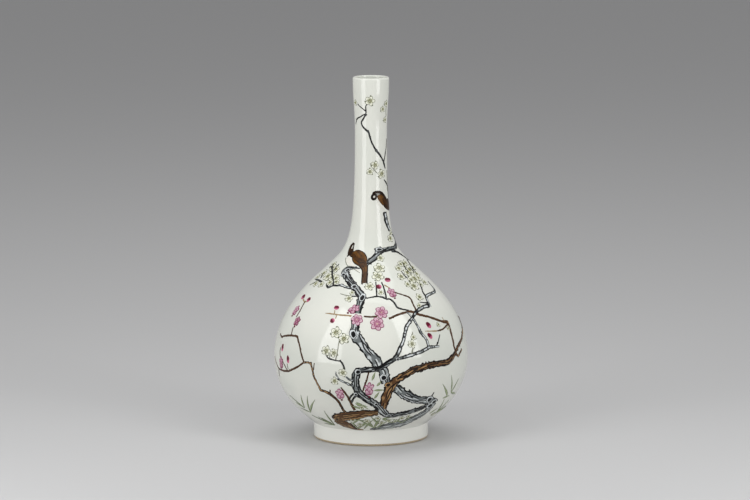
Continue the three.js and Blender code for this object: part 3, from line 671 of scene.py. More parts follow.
class VASE_OT_glaze(bpy.types.Operator):
    """Coats the vase in its outer, inner and base glaze"""

    bl_idname = "vase.glaze"
    bl_label = "Glaze coats"

    def execute(self, context):
        form = context.scene.vase_form
        wall = Wall(form)
        clear = shared_material("clear_glaze_over_porcelain", glaze_material, context.scene.vase_glaze)
        coats = {
            "outer_glaze": self.outer(wall),
            "inner_glaze": self.inner(wall),
            "base_glaze": self.base(wall),
        }
        for node, profile in coats.items():
            turned_piece(node, profile, clear, form.facets)
        return {"FINISHED"}

    def outer(self, wall):
        """From the bare rim of the foot up over the lip."""
        foot = rise(wall.bare_rim, wall.foot_height)
        belly = rise(wall.foot_height, wall.neck_seam, GLAZE_PACE)
        neck = rise(wall.neck_seam, wall.lip_base, GLAZE_PACE)
        heights = np.concatenate([foot, belly[1:], neck[1:]])
        outside, outer_back = wall.outside(heights), wall.outer_glaze_back(heights)
        inside, inner_back = wall.inside([wall.lip_base]), wall.inner_glaze_back([wall.lip_base])
        return [
            *outside,
            *wall.lip(outside[-1], inside[0], LIP_ROUND),
            *inside,
            *inner_back,
            *back(wall.lip(outer_back[-1], inner_back[0], LIP_ROUND - wall.glaze + COAT_SEAT)),
            *back(outer_back),
        ]

    def inner(self, wall):
        """Over the floor and up the inside."""
        heights = rise(wall.foot_seam - SLIP / 2, wall.lip_base)
        return [
            (0, FLOOR_TOP + COAT_SEAT),
            *wall.floor(COAT_SEAT),
            *wall.inner_glaze_back(heights),
            *back(wall.inside(heights)),
            *back(wall.floor(wall.glaze)),
            (0, FLOOR_TOP + wall.glaze),
        ]

    def base(self, wall):
        """In the recess under the foot."""
        corner, end = wall.recess_corner, wall.recess_glaze_end
        return [
            (0, RECESS_DEPTH - wall.glaze),
            (corner - wall.glaze, RECESS_DEPTH - wall.glaze),
            (end - wall.glaze, wall.bare_rim),
            (end - COAT_SEAT, wall.bare_rim),
            (corner - COAT_SEAT, RECESS_DEPTH - COAT_SEAT),
            (0, RECESS_DEPTH - COAT_SEAT),
        ]


# Ways to paint: a stroke by where it is across (from -1 to 1), along and its half width, a disc by its turn

# Where the broken lines run along a limb as shares of its half width, and the widths of dark edges
BARK_LINES = (-0.36, 0.04, 0.4)
BARK_EDGE = 1.9
TWIG_EDGE = 0.8
PLUMAGE_EDGE = 1.2


def tone(colours, name):
    """One of the enamels, as a colour that can be mixed."""
    return np.array(getattr(colours, name))


def shades(colours, kind):
    return [tone(colours, f"{kind}_{shade}") for shade in ("dark", "mid", "light")]


def bark(dark, mid, light, seed):
    """Wood with a ragged dark line on each side, lit patches and broken lines along it."""

    def paint(across, along, half):
        x = across * half
        lit = mottle(x * 0.5 + 7, along * 0.25, seed + 1)
        body = mix(mid, light, 0.8 * ease(0.5, 0.85, lit))
        for number, middle in enumerate(BARK_LINES):
            here = mottle(along * 0.16, 5 * number, seed + 3)
            broken = ease(0.36, 0.44, here) * ease(1.8, 2.8, half)
            off = x - middle * half - 1.8 * (mottle(along * 0.12, 7 * number, seed + 4) - 0.5)
            streak = broken * (0.2 + 0.8 * ease(3.8, 6, half))
            body = mix(body, light, streak * ease(0.9, 0.4, np.abs(off - 1.3)))
            body = mix(body, dark, broken * ease(0.85, 0.5, np.abs(off)))
        wander = 1.3 * (mottle(along * 0.5, np.sign(across) * 5 + 9, seed + 2) - 0.5)
        width = np.minimum(BARK_EDGE, 0.45 * half) + wander * ease(1.5, 3, half)
        return mix(body, dark, ease(-0.15, 0.15, np.abs(x) - (half - width)))

    return paint


def hollow(dark, mid, light, seed):
    """A thin branch: a dark line on each side of a pale core with darker joints."""

    def paint(across, along, half):
        core = mix(light, mid, ease(0.45, 0.75, mottle(along * 0.3, 4, seed)))
        core = mix(core, dark, 0.9 * ease(0.7, 0.8, mottle(along * 0.5, 9, seed)))
        side = np.where(across > 0, 0.4, 0.3)
        return mix(core, dark, ease(-0.12, 0.12, np.abs(across * half) - half * side))

    return paint


def twig(dark, mid, seed):
    """A twig: a dark line with a lighter core where it is wide enough."""

    def paint(across, along, half):
        side = ease(-0.2, 0.15, np.abs(across * half) - (half - TWIG_EDGE))
        thin = 1 - ease(0.9, 1.3, half)
        dry = ease(0.3, 0.6, mottle(along * 0.35, 3, seed))
        return mix(mix(mid, dark, 0.5), dark, np.maximum(side, np.maximum(thin, 1 - dry)))

    return paint


def wash(thin):
    """One thin, even colour that the glaze shows through."""
    return lambda *place: thin


def knot(dark, light):
    """A knot: a dark eye, a pale ring and a dark line round it."""

    def paint(share_of, turn):
        off = share_of + 0.12 * np.cos(turn - 2.2)
        ring = mix(light, dark, ease(0.62, 0.54, off))
        return mix(ring, dark, ease(0.78, 0.85, share_of))

    return paint


def oval(half, long_half, ragged=0.0, seed=1):
    """The outline of a patch, by its turn."""

    def edge(turn):
        wobble = 1 + ragged * (mottle(2.5 + 2 * np.cos(turn), 2.5 + 2 * np.sin(turn), seed) - 0.5)
        return half * wobble * np.cos(turn), long_half * wobble * np.sin(turn)

    return edge


def petal(line, root, tip, width, reach=0.2):
    """A petal with its root at -x: darker there up to its reach, pale at the tip, with a line round it."""

    def paint(share_of, turn):
        x, y = share_of * np.cos(turn), share_of * np.sin(turn)
        body = mix(tip, root, ease(reach, -0.95, x))
        body = mix(body, line, 0.6 * ease(0.3, 0.1, np.abs(y)) * ease(0.35, -0.3, x))
        return mix(body, line, ease(1 - 1.6 * width, 1 - 0.8 * width, share_of))

    return paint


def heart_paint(pale, dark, seed):
    """The speckled middle of a blossom."""

    def paint(share_of, turn):
        x, y = share_of * np.cos(turn), share_of * np.sin(turn)
        return mix(pale, dark, ease(0.45, 0.6, mottle(x * 2.4 + 5, y * 2.4 + 5, seed)))

    return paint


def bud_paint(cap, cup, rim):
    """A bud: a crimson cap over a paler cup, with a light rim."""

    def paint(share_of, turn):
        y = share_of * np.sin(turn)
        body = mix(cup, cap, ease(-0.55, 0.05, y))
        return mix(body, rim, 0.6 * ease(0.86, 0.99, share_of) * ease(0.2, -0.4, y))

    return paint


def leaf_paint(dark, mid):
    """A bamboo leaf: pale, with a dark line down each side."""
    return lambda across, along, half: mix(mid, dark, ease(0.3, 0.75, np.abs(across + 0.15)))


def plumage(dark, mid, light, seed):
    """Feathers: fine barbs along the bird, lit on the back and dark at the edges."""

    def paint(across, along, half):
        x = across * half
        barb = mottle(x * 1.8 + 30, along * 0.5, seed)
        lit = mottle(x * 0.35 + 5, along * 0.16, seed + 1)
        body = mix(mid, light, ease(0.45, 0.8, lit))
        body = mix(body, dark, 0.5 * ease(0.52, 0.75, barb))
        width = np.minimum(PLUMAGE_EDGE, 0.5 * half)
        return mix(body, dark, ease(-0.5, 0.2, np.abs(x) - (half - width)))

    return paint


def eye_paint(dark, pale):
    """A pale eye in a dark head."""
    return lambda share_of, turn: mix(pale, dark, ease(0.22, 0.34, share_of))



# The painting, motif by motif

# A stroke is a style, a level that rises as strokes are laid over others, and a path of (azimuth, height,
# half width). A knot has its azimuth, height, half width, half length and tilt.
GREY_WOOD = {
    "grey_root": [
        ("limb", 1, [
            (-1, 18.6, 1.2), (7, 20.2, 4.4), (16, 22.6, 7), (28, 25.2, 7.6), (37, 31, 6.6), (43.4, 37, 5.6),
            (46.4, 47, 5),
        ]),
        ("limb", 1, [
            (14.6, 69, 5), (20.6, 60.6, 5.8), (26.6, 55.8, 5.6), (33, 52.4, 5.4), (40.5, 50.6, 5.8),
            (45.4, 48.6, 4.8),
        ]),
        ("twig", 2, [(27.2, 59.6, 1), (25, 62.4, 1), (23.4, 66, 0.6)]),
        ("twig", 2, [(47, 50.6, 1.4), (49.4, 48.4, 0.7)]),
        ("twig", 2, [(41.6, 55.6, 1.1), (42.6, 59.6, 0.6)]),
        ("knot", 3, (40.4, 52, 4.2, 3.6, 0)),
        ("knot", 4, (45.6, 48.2, 3.6, 3.2, 20)),
        ("knot", 3, (43.6, 44.2, 4, 3.4, 30)),
    ],
    "grey_trunk": [
        ("limb", 1, [
            (4.2, 90, 5.5), (3.4, 96, 6.2), (1.4, 100.8, 6.2), (-1.3, 105.4, 5.4), (-3.6, 110.4, 5.1),
            (-5.6, 115, 5.2), (-8.6, 120.2, 6), (-10.2, 125.4, 5.8), (-10.4, 130.4, 4.9), (-10.4, 136, 4.6),
            (-9.8, 141, 4.3),
        ]),
        ("knot", 2, (-11.3, 124, 3, 4.8, 22)),
    ],
    "grey_lower_branch": [
        ("limb", 1, [(5, 91, 4.1), (7.2, 86.6, 5.9), (8, 80.4, 6.1), (9.2, 74.6, 5.1)]),
        ("limb", 3, [
            (41, 44.6, 2.7), (37, 42.6, 3.5), (30, 40, 3.8), (23, 38, 3.9), (16.6, 36.6, 3.9),
            (11.4, 37.4, 4.1), (8, 42.4, 5.1), (4.6, 48.6, 4.8), (0.4, 53.6, 4.5), (-3.4, 57.8, 4.4),
            (-6.2, 62, 4.4), (-8.3, 67, 4.4), (-8.9, 72, 4.4), (-9, 78, 4.4), (-8.6, 83.6, 4.5),
            (-8, 88, 3.2),
        ]),
        ("limb", 4, [
            (-9, 87.2, 3.2), (-3.6, 88.2, 3), (1, 88.7, 2.9), (5.4, 90.4, 3), (8.2, 93.2, 3),
            (11.2, 96.4, 2.7), (14.6, 99.8, 2.4),
        ]),
        ("branch", 2, [
            (-10, 70.6, 1.5), (-12.8, 72.4, 1.4), (-15.6, 74.6, 1.2), (-18.4, 77, 1), (-20.4, 81.6, 0.8),
            (-20.8, 85.4, 0.5),
        ]),
        ("twig", 2, [(-18.4, 77, 0.9), (-20.4, 77.6, 0.6)]),
        ("branch", 2, [(-10.2, 76.8, 1.4), (-12.6, 77.8, 1.2), (-14.6, 80.6, 0.9)]),
        ("twig", 2, [(-8.6, 60.6, 1.4), (-10.6, 57.6, 1.3), (-12.6, 52, 1.3)]),
        ("twig", 2, [(-10.4, 63, 1.2), (-12.4, 59, 1.1), (-13.4, 55.6, 0.9)]),
        ("twig", 2, [
            (-15.2, 87.8, 1), (-16.2, 92.4, 1.1), (-17.8, 96.2, 0.9), (-20.6, 96.8, 0.8), (-24.6, 98, 0.8),
            (-26.8, 100.4, 0.7), (-27.6, 104.4, 0.5),
        ]),
        ("twig", 2, [(-17.6, 96.8, 0.7), (-18.6, 97.4, 0.5)]),
        ("faint", 2, [(-24.8, 98.4, 0.7), (-24.9, 104.6, 0.5)]),
        ("faint", 2, [(-21, 97.2, 0.7), (-20.2, 106, 0.6), (-19.6, 119, 0.5)]),
        ("knot", 4, (-7.5, 86.3, 2.9, 2.7, 0)),
        ("knot", 2, (7.2, 80.2, 3.3, 3.3, 30)),
        ("knot", 4, (3.2, 51, 1.7, 1.4, 30)),
        ("knot", 4, (-9.2, 62, 1.4, 1.2, 0)),
        ("knot", 4, (12.8, 36.8, 2.4, 1.1, 0)),
    ],
    "grey_trunk_top": [
        ("limb", 2, [
            (-9.4, 143.6, 3.8), (-9, 149, 3.8), (-8.4, 154.6, 4.5), (-8, 159.4, 4.8), (-12.4, 164.6, 4.6),
            (-17.6, 169, 4.6), (-23, 173, 4.5), (-28.4, 176.4, 4.6), (-33.6, 179.4, 4.8), (-35.4, 182, 4.1),
            (-31.8, 184.2, 3.5), (-25.6, 184.6, 2.4), (-17, 184.6, 0.9),
        ]),
        ("twig", 3, [(-33, 184, 1), (-28, 185.2, 1.3), (-22, 185, 1.1), (-15, 184.4, 0.6)]),
        ("twig", 1, [(-11.4, 159.4, 1), (-17, 159.4, 0.9)]),
        ("faint", 1, [(-17, 159.4, 0.8), (-22, 159.8, 0.7), (-28, 161, 0.4)]),
        ("knot", 3, (-7.2, 158.6, 2.8, 5.4, -24)),
        ("knot", 3, (-16.6, 168, 2.8, 2.4, 20)),
        ("knot", 3, (-32.4, 182.2, 2.8, 1.7, 40)),
        ("knot", 3, (-34.6, 178, 2.6, 1.9, 0)),
    ],
    "neck_branch": [
        ("limb", 2, [
            (-8, 188.4, 3.2), (-3.6, 190.4, 3.6), (0.6, 192, 3.8), (5, 194, 3.7), (10.4, 196.6, 3.6),
            (17.4, 199.4, 3), (25, 201, 2.8), (34, 201.6, 2.7), (44, 202, 2.6), (58, 202, 2.5),
            (72, 203.4, 2.5), (88, 207, 2.4), (96, 212, 2.1),
        ]),
        ("branch", 1, [
            (94, 210, 2), (84, 214, 2.2), (70, 218, 2.5), (62, 221.8, 2.9), (57.4, 225.4, 3.4),
            (54, 229, 3.4), (52, 232.6, 3.4), (50.4, 236.2, 3.4), (50, 240, 3.2),
        ]),
        ("twig", 1, [(46, 200, 1.9), (58, 198.8, 1.7), (69, 196, 1.8), (79, 191.6, 1.4), (88, 187, 1)]),
        ("limb", 3, [(10.6, 198.4, 1.6), (12, 202.6, 1.5), (18, 203.6, 1.4), (25, 202.8, 1.2)]),
        ("knot", 4, (17.4, 202.2, 3.2, 1.5, 0)),
    ],
    "grey_right_branch": [
        ("branch", 2, [
            (13.6, 99, 2.4), (15.8, 103.4, 2.8), (17.3, 108.4, 2.3), (19, 113.5, 2.2), (20.5, 118, 2),
            (21.6, 122.6, 2), (22.8, 127.2, 2.2), (24.6, 131.2, 2.2), (27.6, 135.2, 2.2), (30.8, 139.4, 2),
            (34.2, 142.8, 2.2), (38, 145.2, 2.3), (42.6, 146.8, 2.4), (48.8, 147, 2.6),
        ]),
        ("branch", 3, [
            (49.8, 145.8, 1.6), (50.2, 149.8, 2), (50.6, 152.6, 1.8), (52, 155.6, 2.2), (55.6, 156.6, 2),
            (60, 157, 1.8), (66, 157.2, 1.7), (71, 158.2, 1.7), (73.4, 160.8, 1.4), (73.6, 163.6, 1),
            (74.4, 167.4, 0.7),
        ]),
        ("twig", 2, [(51.6, 155.6, 1.6), (51.6, 160.2, 1.1), (53.8, 163.8, 1), (55.2, 167.4, 1)]),
        ("twig", 2, [(50.4, 149.6, 1), (46, 150.4, 0.9), (41.4, 151.6, 0.6)]),
        ("twig", 1, [(45.6, 169.6, 0.7), (45, 172.4, 0.8), (42.6, 177.4, 0.8), (42, 181.4, 0.6)]),
        ("faint", 1, [(45.4, 169.8, 0.7), (45.6, 166.6, 0.6)]),
        ("twig", 3, [(62, 182.6, 1.1), (63.4, 177, 1)]),
        ("twig", 3, [(66, 177, 1), (70, 183, 1.1), (79, 189, 0.8)]),
        ("twig", 3, [(54, 177, 0.9), (53, 182, 1), (56, 188, 0.8)]),
    ],
    "grey_right_twig": [
        ("branch", 1, [
            (13.8, 98.6, 2), (17.2, 99.7, 1.8), (20.3, 100.6, 2.1), (23, 101.6, 2.3), (26.7, 102.8, 2),
            (30.8, 104.2, 2), (34, 106, 2), (37, 108, 2.2), (41, 107.8, 1.5), (45.6, 107.6, 1),
        ]),
        ("branch", 1, [
            (36.8, 108.4, 2.1), (36.6, 113.6, 1.7), (35.4, 118.4, 1.7), (33.4, 122.8, 2), (32.4, 127.6, 1.5),
            (31.4, 132.6, 1.5), (30, 137.4, 1.5), (28, 142.4, 1.1), (26, 144, 1),
        ]),
        ("twig", 1, [(43, 108, 0.9), (45.2, 112.4, 0.8), (48.2, 119, 0.5)]),
        ("faint", 1, [(24.6, 102.6, 0.8), (26, 110, 0.8), (27.4, 125, 0.6)]),
        ("knot", 2, (15.8, 98.9, 1.6, 0.9, 0)),
    ],
    "grey_shoulder_twig": [
        ("branch", 1, [
            (-18, 166.4, 1.8), (-22.5, 166.8, 1.9), (-27, 167.8, 1.8), (-31, 168.6, 1.8), (-34.6, 168, 1.3),
        ]),
        ("twig", 1, [(-34, 168, 1.4), (-39, 167.4, 1.2), (-44.4, 165.4, 1.4), (-49.5, 167.8, 0.9)]),
        ("twig", 3, [(-39.4, 167.6, 1.3), (-43, 171.8, 1.2)]),
        ("twig", 3, [(-43, 171.8, 1.2), (-52, 177, 1.3), (-61.6, 182, 1.1), (-69, 185.4, 0.7)]),
        ("twig", 3, [(-54, 177.6, 0.8), (-54.6, 182, 0.9), (-54.5, 186.8, 0.6)]),
        ("twig", 3, [(-60, 180.6, 0.7), (-66, 182.8, 1), (-71, 181.8, 0.6)]),
        ("twig", 3, [(-58.6, 168.9, 1.5), (-67, 169.4, 1.4), (-76, 169.2, 1)]),
        ("twig", 3, [(-66, 171.4, 1), (-69, 174, 0.8), (-74, 175, 0.5)]),
        ("faint", 3, [(-66, 169, 1), (-72, 165.6, 1), (-76, 163, 0.6)]),
    ],
    "thin_shoulder_twig": [
        ("twig", 1, [
            (-4, 157.6, 0.9), (0.5, 158.8, 0.9), (5, 159.4, 1), (9.6, 158.8, 1.1), (13, 156.8, 1.2),
            (16, 156.8, 1.1), (18.8, 153.2, 1.1), (20.2, 148.8, 1.2), (24, 146.8, 1.1), (29, 145, 1),
        ]),
        ("twig", 1, [(5.1, 159.4, 0.8), (5.2, 165, 0.8), (5.2, 173, 0.6)]),
        ("twig", 1, [(13, 157, 1), (12.8, 164.5, 1), (11.4, 172.4, 0.8)]),
    ],
    "neck_twig": [
        ("twig", 1, [
            (61, 284.6, 1), (52, 291, 1.3), (42, 296.4, 1), (34.4, 299.7, 1.1), (22.3, 303.4, 1.4),
            (7.5, 310.5, 1.1), (-1.4, 316.7, 1), (-8.6, 324, 1.2), (-27.5, 328.6, 1), (-35.7, 333.3, 1.1),
            (-25.2, 338.8, 1), (-15.6, 343.2, 1.4),
        ]),
        ("twig", 1, [(-17, 343.2, 0.8), (-17.2, 347, 0.8), (-17.2, 351.3, 0.7), (-6.5, 355.5, 0.6)]),
        ("twig", 1, [(-20, 342.8, 0.8), (-42, 339.2, 0.8), (-59, 336.6, 0.9), (-67, 331, 0.5)]),
        ("twig", 1, [(-20, 346.4, 0.7), (-50, 352.8, 0.6)]),
        ("twig", 1, [(51, 291, 0.9), (61, 300, 0.9), (70, 308, 0.8), (74, 316, 0.5)]),
        ("twig", 1, [(88, 252, 1.2), (82, 264, 1.4), (66, 269.4, 1.1), (52, 273.6, 0.7)]),
        ("faint", 1, [(22, 281, 0.6), (8, 286, 0.5), (-3, 291.5, 0.5)]),
        ("faint", 1, [(66, 356, 0.6), (62, 346, 0.7), (66, 339, 0.5)]),
        ("faint", 1, [(76, 260, 0.8), (76, 275, 0.7), (72, 283, 0.6)]),
    ],
}

BROWN_WOOD = {
    "brown_trunk_foot": [
        ("limb", 1, [
            (-30, 29, 3.6), (-26, 26.6, 7), (-22, 24, 8), (-18, 21, 5.6), (-14, 18.8, 2.8), (-7, 17.9, 0.9),
        ]),
        ("limb", 2, [
            (-30, 29.8, 3.6), (-26, 32.2, 6.4), (-20, 34.4, 7.8), (-13, 36.6, 7.8), (-5, 39, 6.6),
            (5, 40.8, 4.6),
        ]),
        ("knot", 3, (-27.2, 31, 3.2, 2, 20)),
        ("limb", 3, [(-27, 28.6, 0.9), (-24, 28.6, 1.2), (-20.6, 30, 1)]),
        ("twig", 3, [(-25.4, 36.6, 1.4), (-22, 37.4, 1.6)]),
    ],
    "brown_trunk": [
        ("limb", 2, [
            (7.6, 44, 3.9), (8.2, 50, 4.8), (9.5, 60, 5.8), (10.6, 65.6, 5.5), (12.2, 71.8, 5.8),
            (14.4, 76, 4.8), (17.6, 79.6, 4.4), (21, 82.6, 4.1), (25.6, 86.4, 4.1), (31, 88.4, 4.1),
            (37, 89.6, 4), (43.4, 90, 3.7), (49, 89.8, 3.7), (53, 91, 3.9), (56.6, 94, 3.4), (60, 97, 2.8),
        ]),
        ("knot", 3, (10, 72.4, 2.8, 2, 20)),
        ("limb", 3, [(52.6, 90, 3), (53.4, 87.4, 1.1)]),
    ],
    "brown_twig_left": [
        ("branch", 1, [
            (-17.6, 39.6, 2), (-19, 43.4, 1.8), (-20.6, 51.2, 1.7), (-23, 56.8, 1.8), (-25.6, 60.4, 1.9),
            (-29, 63, 1.8), (-31.6, 63.8, 1.7), (-32.4, 67, 1.5), (-33.8, 72, 1.3), (-35.4, 78, 1.3),
            (-36.1, 84, 1.3), (-36.9, 88, 1.4), (-37.7, 91.2, 1.3), (-39.9, 91.9, 1.2), (-42.8, 91.4, 1.4),
        ]),
        ("twig", 1, [
            (-42.8, 91.4, 1.3), (-44.3, 96, 1.2), (-46.1, 101.8, 1.2), (-48, 108, 1.2), (-50.4, 112.8, 1.4),
            (-52, 115.8, 1.4), (-56.5, 115.8, 1.2), (-61.2, 114.9, 1.3), (-67.3, 112.8, 1.2), (-71, 111, 1.2),
            (-75.4, 113.2, 0.9),
        ]),
        ("twig", 1, [
            (-43, 91.2, 1.2), (-46.6, 87, 1.1), (-50, 84, 1.2), (-54.6, 80.4, 1.2), (-58.3, 78.4, 1.3),
            (-65.8, 77, 1.1), (-72, 78, 1), (-77.7, 84, 0.8), (-80, 88, 0.6),
        ]),
        ("twig", 2, [
            (-58.4, 78.8, 0.9), (-63.2, 86, 0.7), (-67.8, 91, 0.6), (-69, 97, 0.6), (-68.6, 100.6, 0.5),
        ]),
        ("twig", 1, [(-57.6, 80.4, 0.6), (-58.6, 86.6, 0.5)]),
        ("twig", 1, [(-58.4, 115.6, 1), (-59, 120, 0.9), (-59.4, 124, 0.8)]),
        ("twig", 1, [(-71.4, 77, 0.9), (-73, 68.6, 0.8)]),
        ("twig", 1, [(-25.6, 60.6, 1), (-25.2, 65.4, 0.6)]),
        ("twig", 1, [(-35.4, 85, 0.8), (-35, 92.4, 0.6)]),
        ("twig", 1, [(-37.6, 91.2, 1), (-37, 93, 0.8)]),
    ],
    "brown_twig_foot": [
        ("twig", 1, [
            (-10.8, 43, 1.8), (-12.8, 51.8, 1.6), (-14.6, 59.6, 1.4), (-16.8, 65.6, 1.2), (-18.2, 69, 0.8),
        ]),
        ("twig", 1, [(-1.2, 86, 0.9), (-2.4, 78, 0.9), (-4, 70, 0.9), (-4.8, 65.4, 0.8)]),
    ],
    "brown_twig_right": [
        ("twig", 1, [
            (60.4, 98, 1.9), (59.6, 104, 1.8), (59.7, 110, 1.9), (59.8, 115, 1.8), (60.4, 122, 1.8),
            (60.8, 126.6, 1.9), (59.4, 129, 2.3), (56.6, 129.8, 1.8), (53.6, 131.2, 1.6), (47, 135.2, 1.5),
            (41, 138.4, 1.6), (36.4, 140.4, 1.7), (32.8, 142.6, 1.8), (30.8, 143.8, 1.8),
        ]),
        ("twig", 1, [(60, 127, 1.3), (55, 124.4, 1), (51.5, 123, 1), (46.8, 122.6, 0.9)]),
        ("faint", 1, [(46.8, 122.6, 0.8), (42.4, 123.3, 0.7), (36.6, 124.2, 0.5)]),
        ("limb", 2, [
            (59, 96, 2), (61, 99, 2.2), (65.4, 103.6, 2), (71, 107.4, 1.8), (76, 111.6, 1.7),
            (81, 115.4, 1.5), (85, 120, 1.3), (87, 126, 1),
        ]),
        ("limb", 2, [(60, 96.6, 1.8), (64, 92.4, 1.4)]),
        ("limb", 1, [(64, 94, 1.6), (69.6, 98.4, 1.2)]),
        ("faint", 1, [(57.6, 129, 0.7), (56.6, 134.6, 0.5)]),
        ("limb", 2, [(59.4, 129.8, 1.6), (61.6, 127.6, 1.6)]),
    ],
    "brown_twig_centre": [
        ("twig", 1, [
            (31.4, 143.6, 1.7), (28.4, 144.2, 1.6), (25, 143.4, 1.4), (21.4, 142.6, 1.4), (18.4, 141.4, 1.4),
            (15, 139.8, 1.4), (12.4, 138.6, 1.2),
        ]),
        ("twig", 1, [(4.6, 141.2, 1.1), (0, 140.6, 1.1), (-5, 141, 1.1)]),
    ],
    "brown_twig_far_left": [
        ("faint", 1, [(-13.6, 141.2, 1.1), (-20.6, 141.4, 1), (-26.4, 141.7, 0.9)]),
        ("faint", 1, [(-26.4, 141.7, 0.9), (-30.4, 142, 0.8), (-34.4, 142, 0.4)]),
        ("faint", 1, [(-26.8, 142, 0.6), (-27.4, 145.8, 0.6)]),
        ("faint", 1, [(-24.6, 141, 0.6), (-25.2, 137.6, 0.6)]),
    ],
    "brown_twig_shoulder": [
        ("twig", 1, [
            (20.6, 163.2, 0.9), (25, 161.2, 1), (29.4, 159.4, 1), (33, 157.6, 1.1), (34.4, 155, 1.1),
            (34.4, 151.6, 1.1), (34.8, 147, 1.2), (35.2, 144, 1.2),
        ]),
        ("faint", 1, [(13.4, 169.8, 0.9), (18.4, 166.4, 0.8)]),
    ],
    "brown_twig_upper_left": [
        ("twig", 1, [(-61, 133.4, 1), (-60.4, 140.2, 0.9), (-61, 147.4, 0.9), (-61.4, 150, 0.8)]),
        ("faint", 1, [(-61, 148.4, 0.8), (-66.4, 150.6, 1)]),
        ("faint", 1, [(-61.2, 148.4, 0.8), (-57.4, 150.2, 1)]),
    ],
    "back_twig": [
        ("twig", 1, [(86, 128, 1.3), (104, 121, 1.5), (130, 117, 1.6), (152, 110, 1.2), (168, 112, 0.8)]),
        ("twig", 1, [(130, 117, 1.3), (138, 127, 1), (144, 136, 0.7)]),
    ],
    "back_twig_left": [
        ("twig", 1, [(-98, 96, 1.2), (-112, 102, 1.4), (-136, 98, 0.8)]),
        ("twig", 1, [(-112, 102, 1.2), (-116, 116, 1), (-110, 128, 0.6)]),
    ],
}


# Azimuth, height, radius and tilt
ROSE_BLOSSOMS = {
    "pink_blossom_lower": (4.2, 134, 7.4, -20),
    "pink_blossom_upper": (7.6, 144.4, 7, 10),
    "pink_blossom_left_lower": (-9.6, 137.6, 6.4, -15),
}
# Place across and along a folded blossom, turn and size of each petal
FOLDED_PETALS = (
    (-0.42, -0.35, 110, 0.42), (0.42, -0.3, 70, 0.42), (-0.5, 0.28, 120, 0.4), (0.5, 0.34, 60, 0.4),
    (0, 0.55, 90, 0.4), (0.05, 0, 90, 0.42),
)
# Azimuth, height, half width, half length, tilt, and how deep the rose is
SIDE_BLOSSOMS = {
    "pink_blossom_left_upper": [(-13, 147.2, 4.6, 7.6, -52, 0.2)],
    "pink_blossom_shoulder": [(19, 161.9, 4.2, 7.2, 14, 0.2)],
    "pink_blossom_low_left": [(-19, 61, 4.6, 7.4, 8, 0)],
    "pink_blossom_low_centre": [(-1, 67.2, 4.6, 9, 0, 0)],
    "pink_blossom_left_side": [
        (-57.8, 129.6, 4.8, 6.2, -6, 0.8), (-66.4, 138.6, 4.6, 7, -14, 0.2), (-66.4, 84.4, 4.8, 7.4, 4, 0.4),
    ],
}
# Azimuth, height, half width, half length and tilt
BUDS = {
    "bud_left_high": [(-26.6, 148, 3, 2.5, 0)],
    "bud_left_low": [(-26.9, 135.6, 2.7, 2.7, 130)],
    "bud_shoulder_left": [(7.8, 168.2, 3, 2.9, 110)],
    "bud_shoulder_right": [(18.6, 174, 3.2, 3, 0)],
    "bud_right_high": [(40.9, 129.4, 2.7, 3.9, 28)],
    "bud_right_low": [(39.6, 119, 2.5, 3.8, 32)],
    "bud_far_left_high": [(-65.8, 101, 2.4, 4, 4), (-68.8, 152.4, 3.4, 3.2, -20), (-58, 151.6, 2.8, 3, -10)],
    "bud_far_left_low": [(-57.6, 91, 2.4, 4.2, 14)],
}
# Azimuth, height, radius and tilt
WHITE_BLOSSOMS = {
    "white_blossom_shoulder": [
        (12, 185, 6.4, 20), (8.4, 177.6, 6.6, 50), (-1.4, 168.6, 5.4, 0), (17, 194, 4.4, 0),
        (9, 163, 3.2, 30),
    ],
    "white_blossom_right": [
        (54, 172.4, 6.8, 0), (45.6, 166.4, 6.2, 20), (37, 176, 4.8, 40), (58, 180.6, 5.6, 10),
        (66, 176, 5, 30), (41, 183.4, 4.4, 0), (66, 167.6, 4.4, 0), (50, 178.6, 5, 50), (61, 172.4, 4.6, 60),
        (50, 186.6, 4.2, 0), (71, 181.6, 4.4, 10), (39.4, 168.6, 4, 30), (48, 172, 5, 15),
        (57.6, 186.6, 4.4, 30), (64, 187, 4, 0), (56, 166.6, 4, 50),
    ],
    "white_blossom_right_low": [
        (44, 156, 4.6, 30), (39.6, 148.6, 3, 0), (49.6, 128.4, 2.8, 20), (58.6, 123, 2.6, 0),
        (25.6, 113, 4.8, 0), (27.2, 119.4, 3.4, 30),
    ],
    "white_blossom_left": [
        (-56, 174.4, 6.6, 10), (-48, 174.6, 5.6, 40), (-61, 182, 5.4, 0), (-70, 176, 5, 20),
        (-66, 166, 4.4, 0), (-18.4, 157, 4.4, 0), (-17, 162.6, 2.8, 30), (-42, 174, 4.8, 0),
        (-46, 169.6, 4.4, 25), (-38.4, 171, 3.8, 50), (-52, 181.6, 4.8, 20), (-56, 166.6, 4.2, 40),
        (-67, 185, 4, 0), (-76, 171, 4, 30),
    ],
    "white_blossom_neck_high": [
        (-3, 356.8, 5.4, 0), (44, 347.4, 3.4, 20), (60, 353, 3.6, 0), (58, 336, 3.2, 0), (-62, 354, 3, 0),
    ],
    "white_blossom_neck_low": [
        (-3, 282.6, 3.8, 15), (14.6, 289.4, 4.4, 0), (40, 280, 5, 30), (58, 212, 4.4, 0), (70, 218, 3.8, 20),
    ],
}
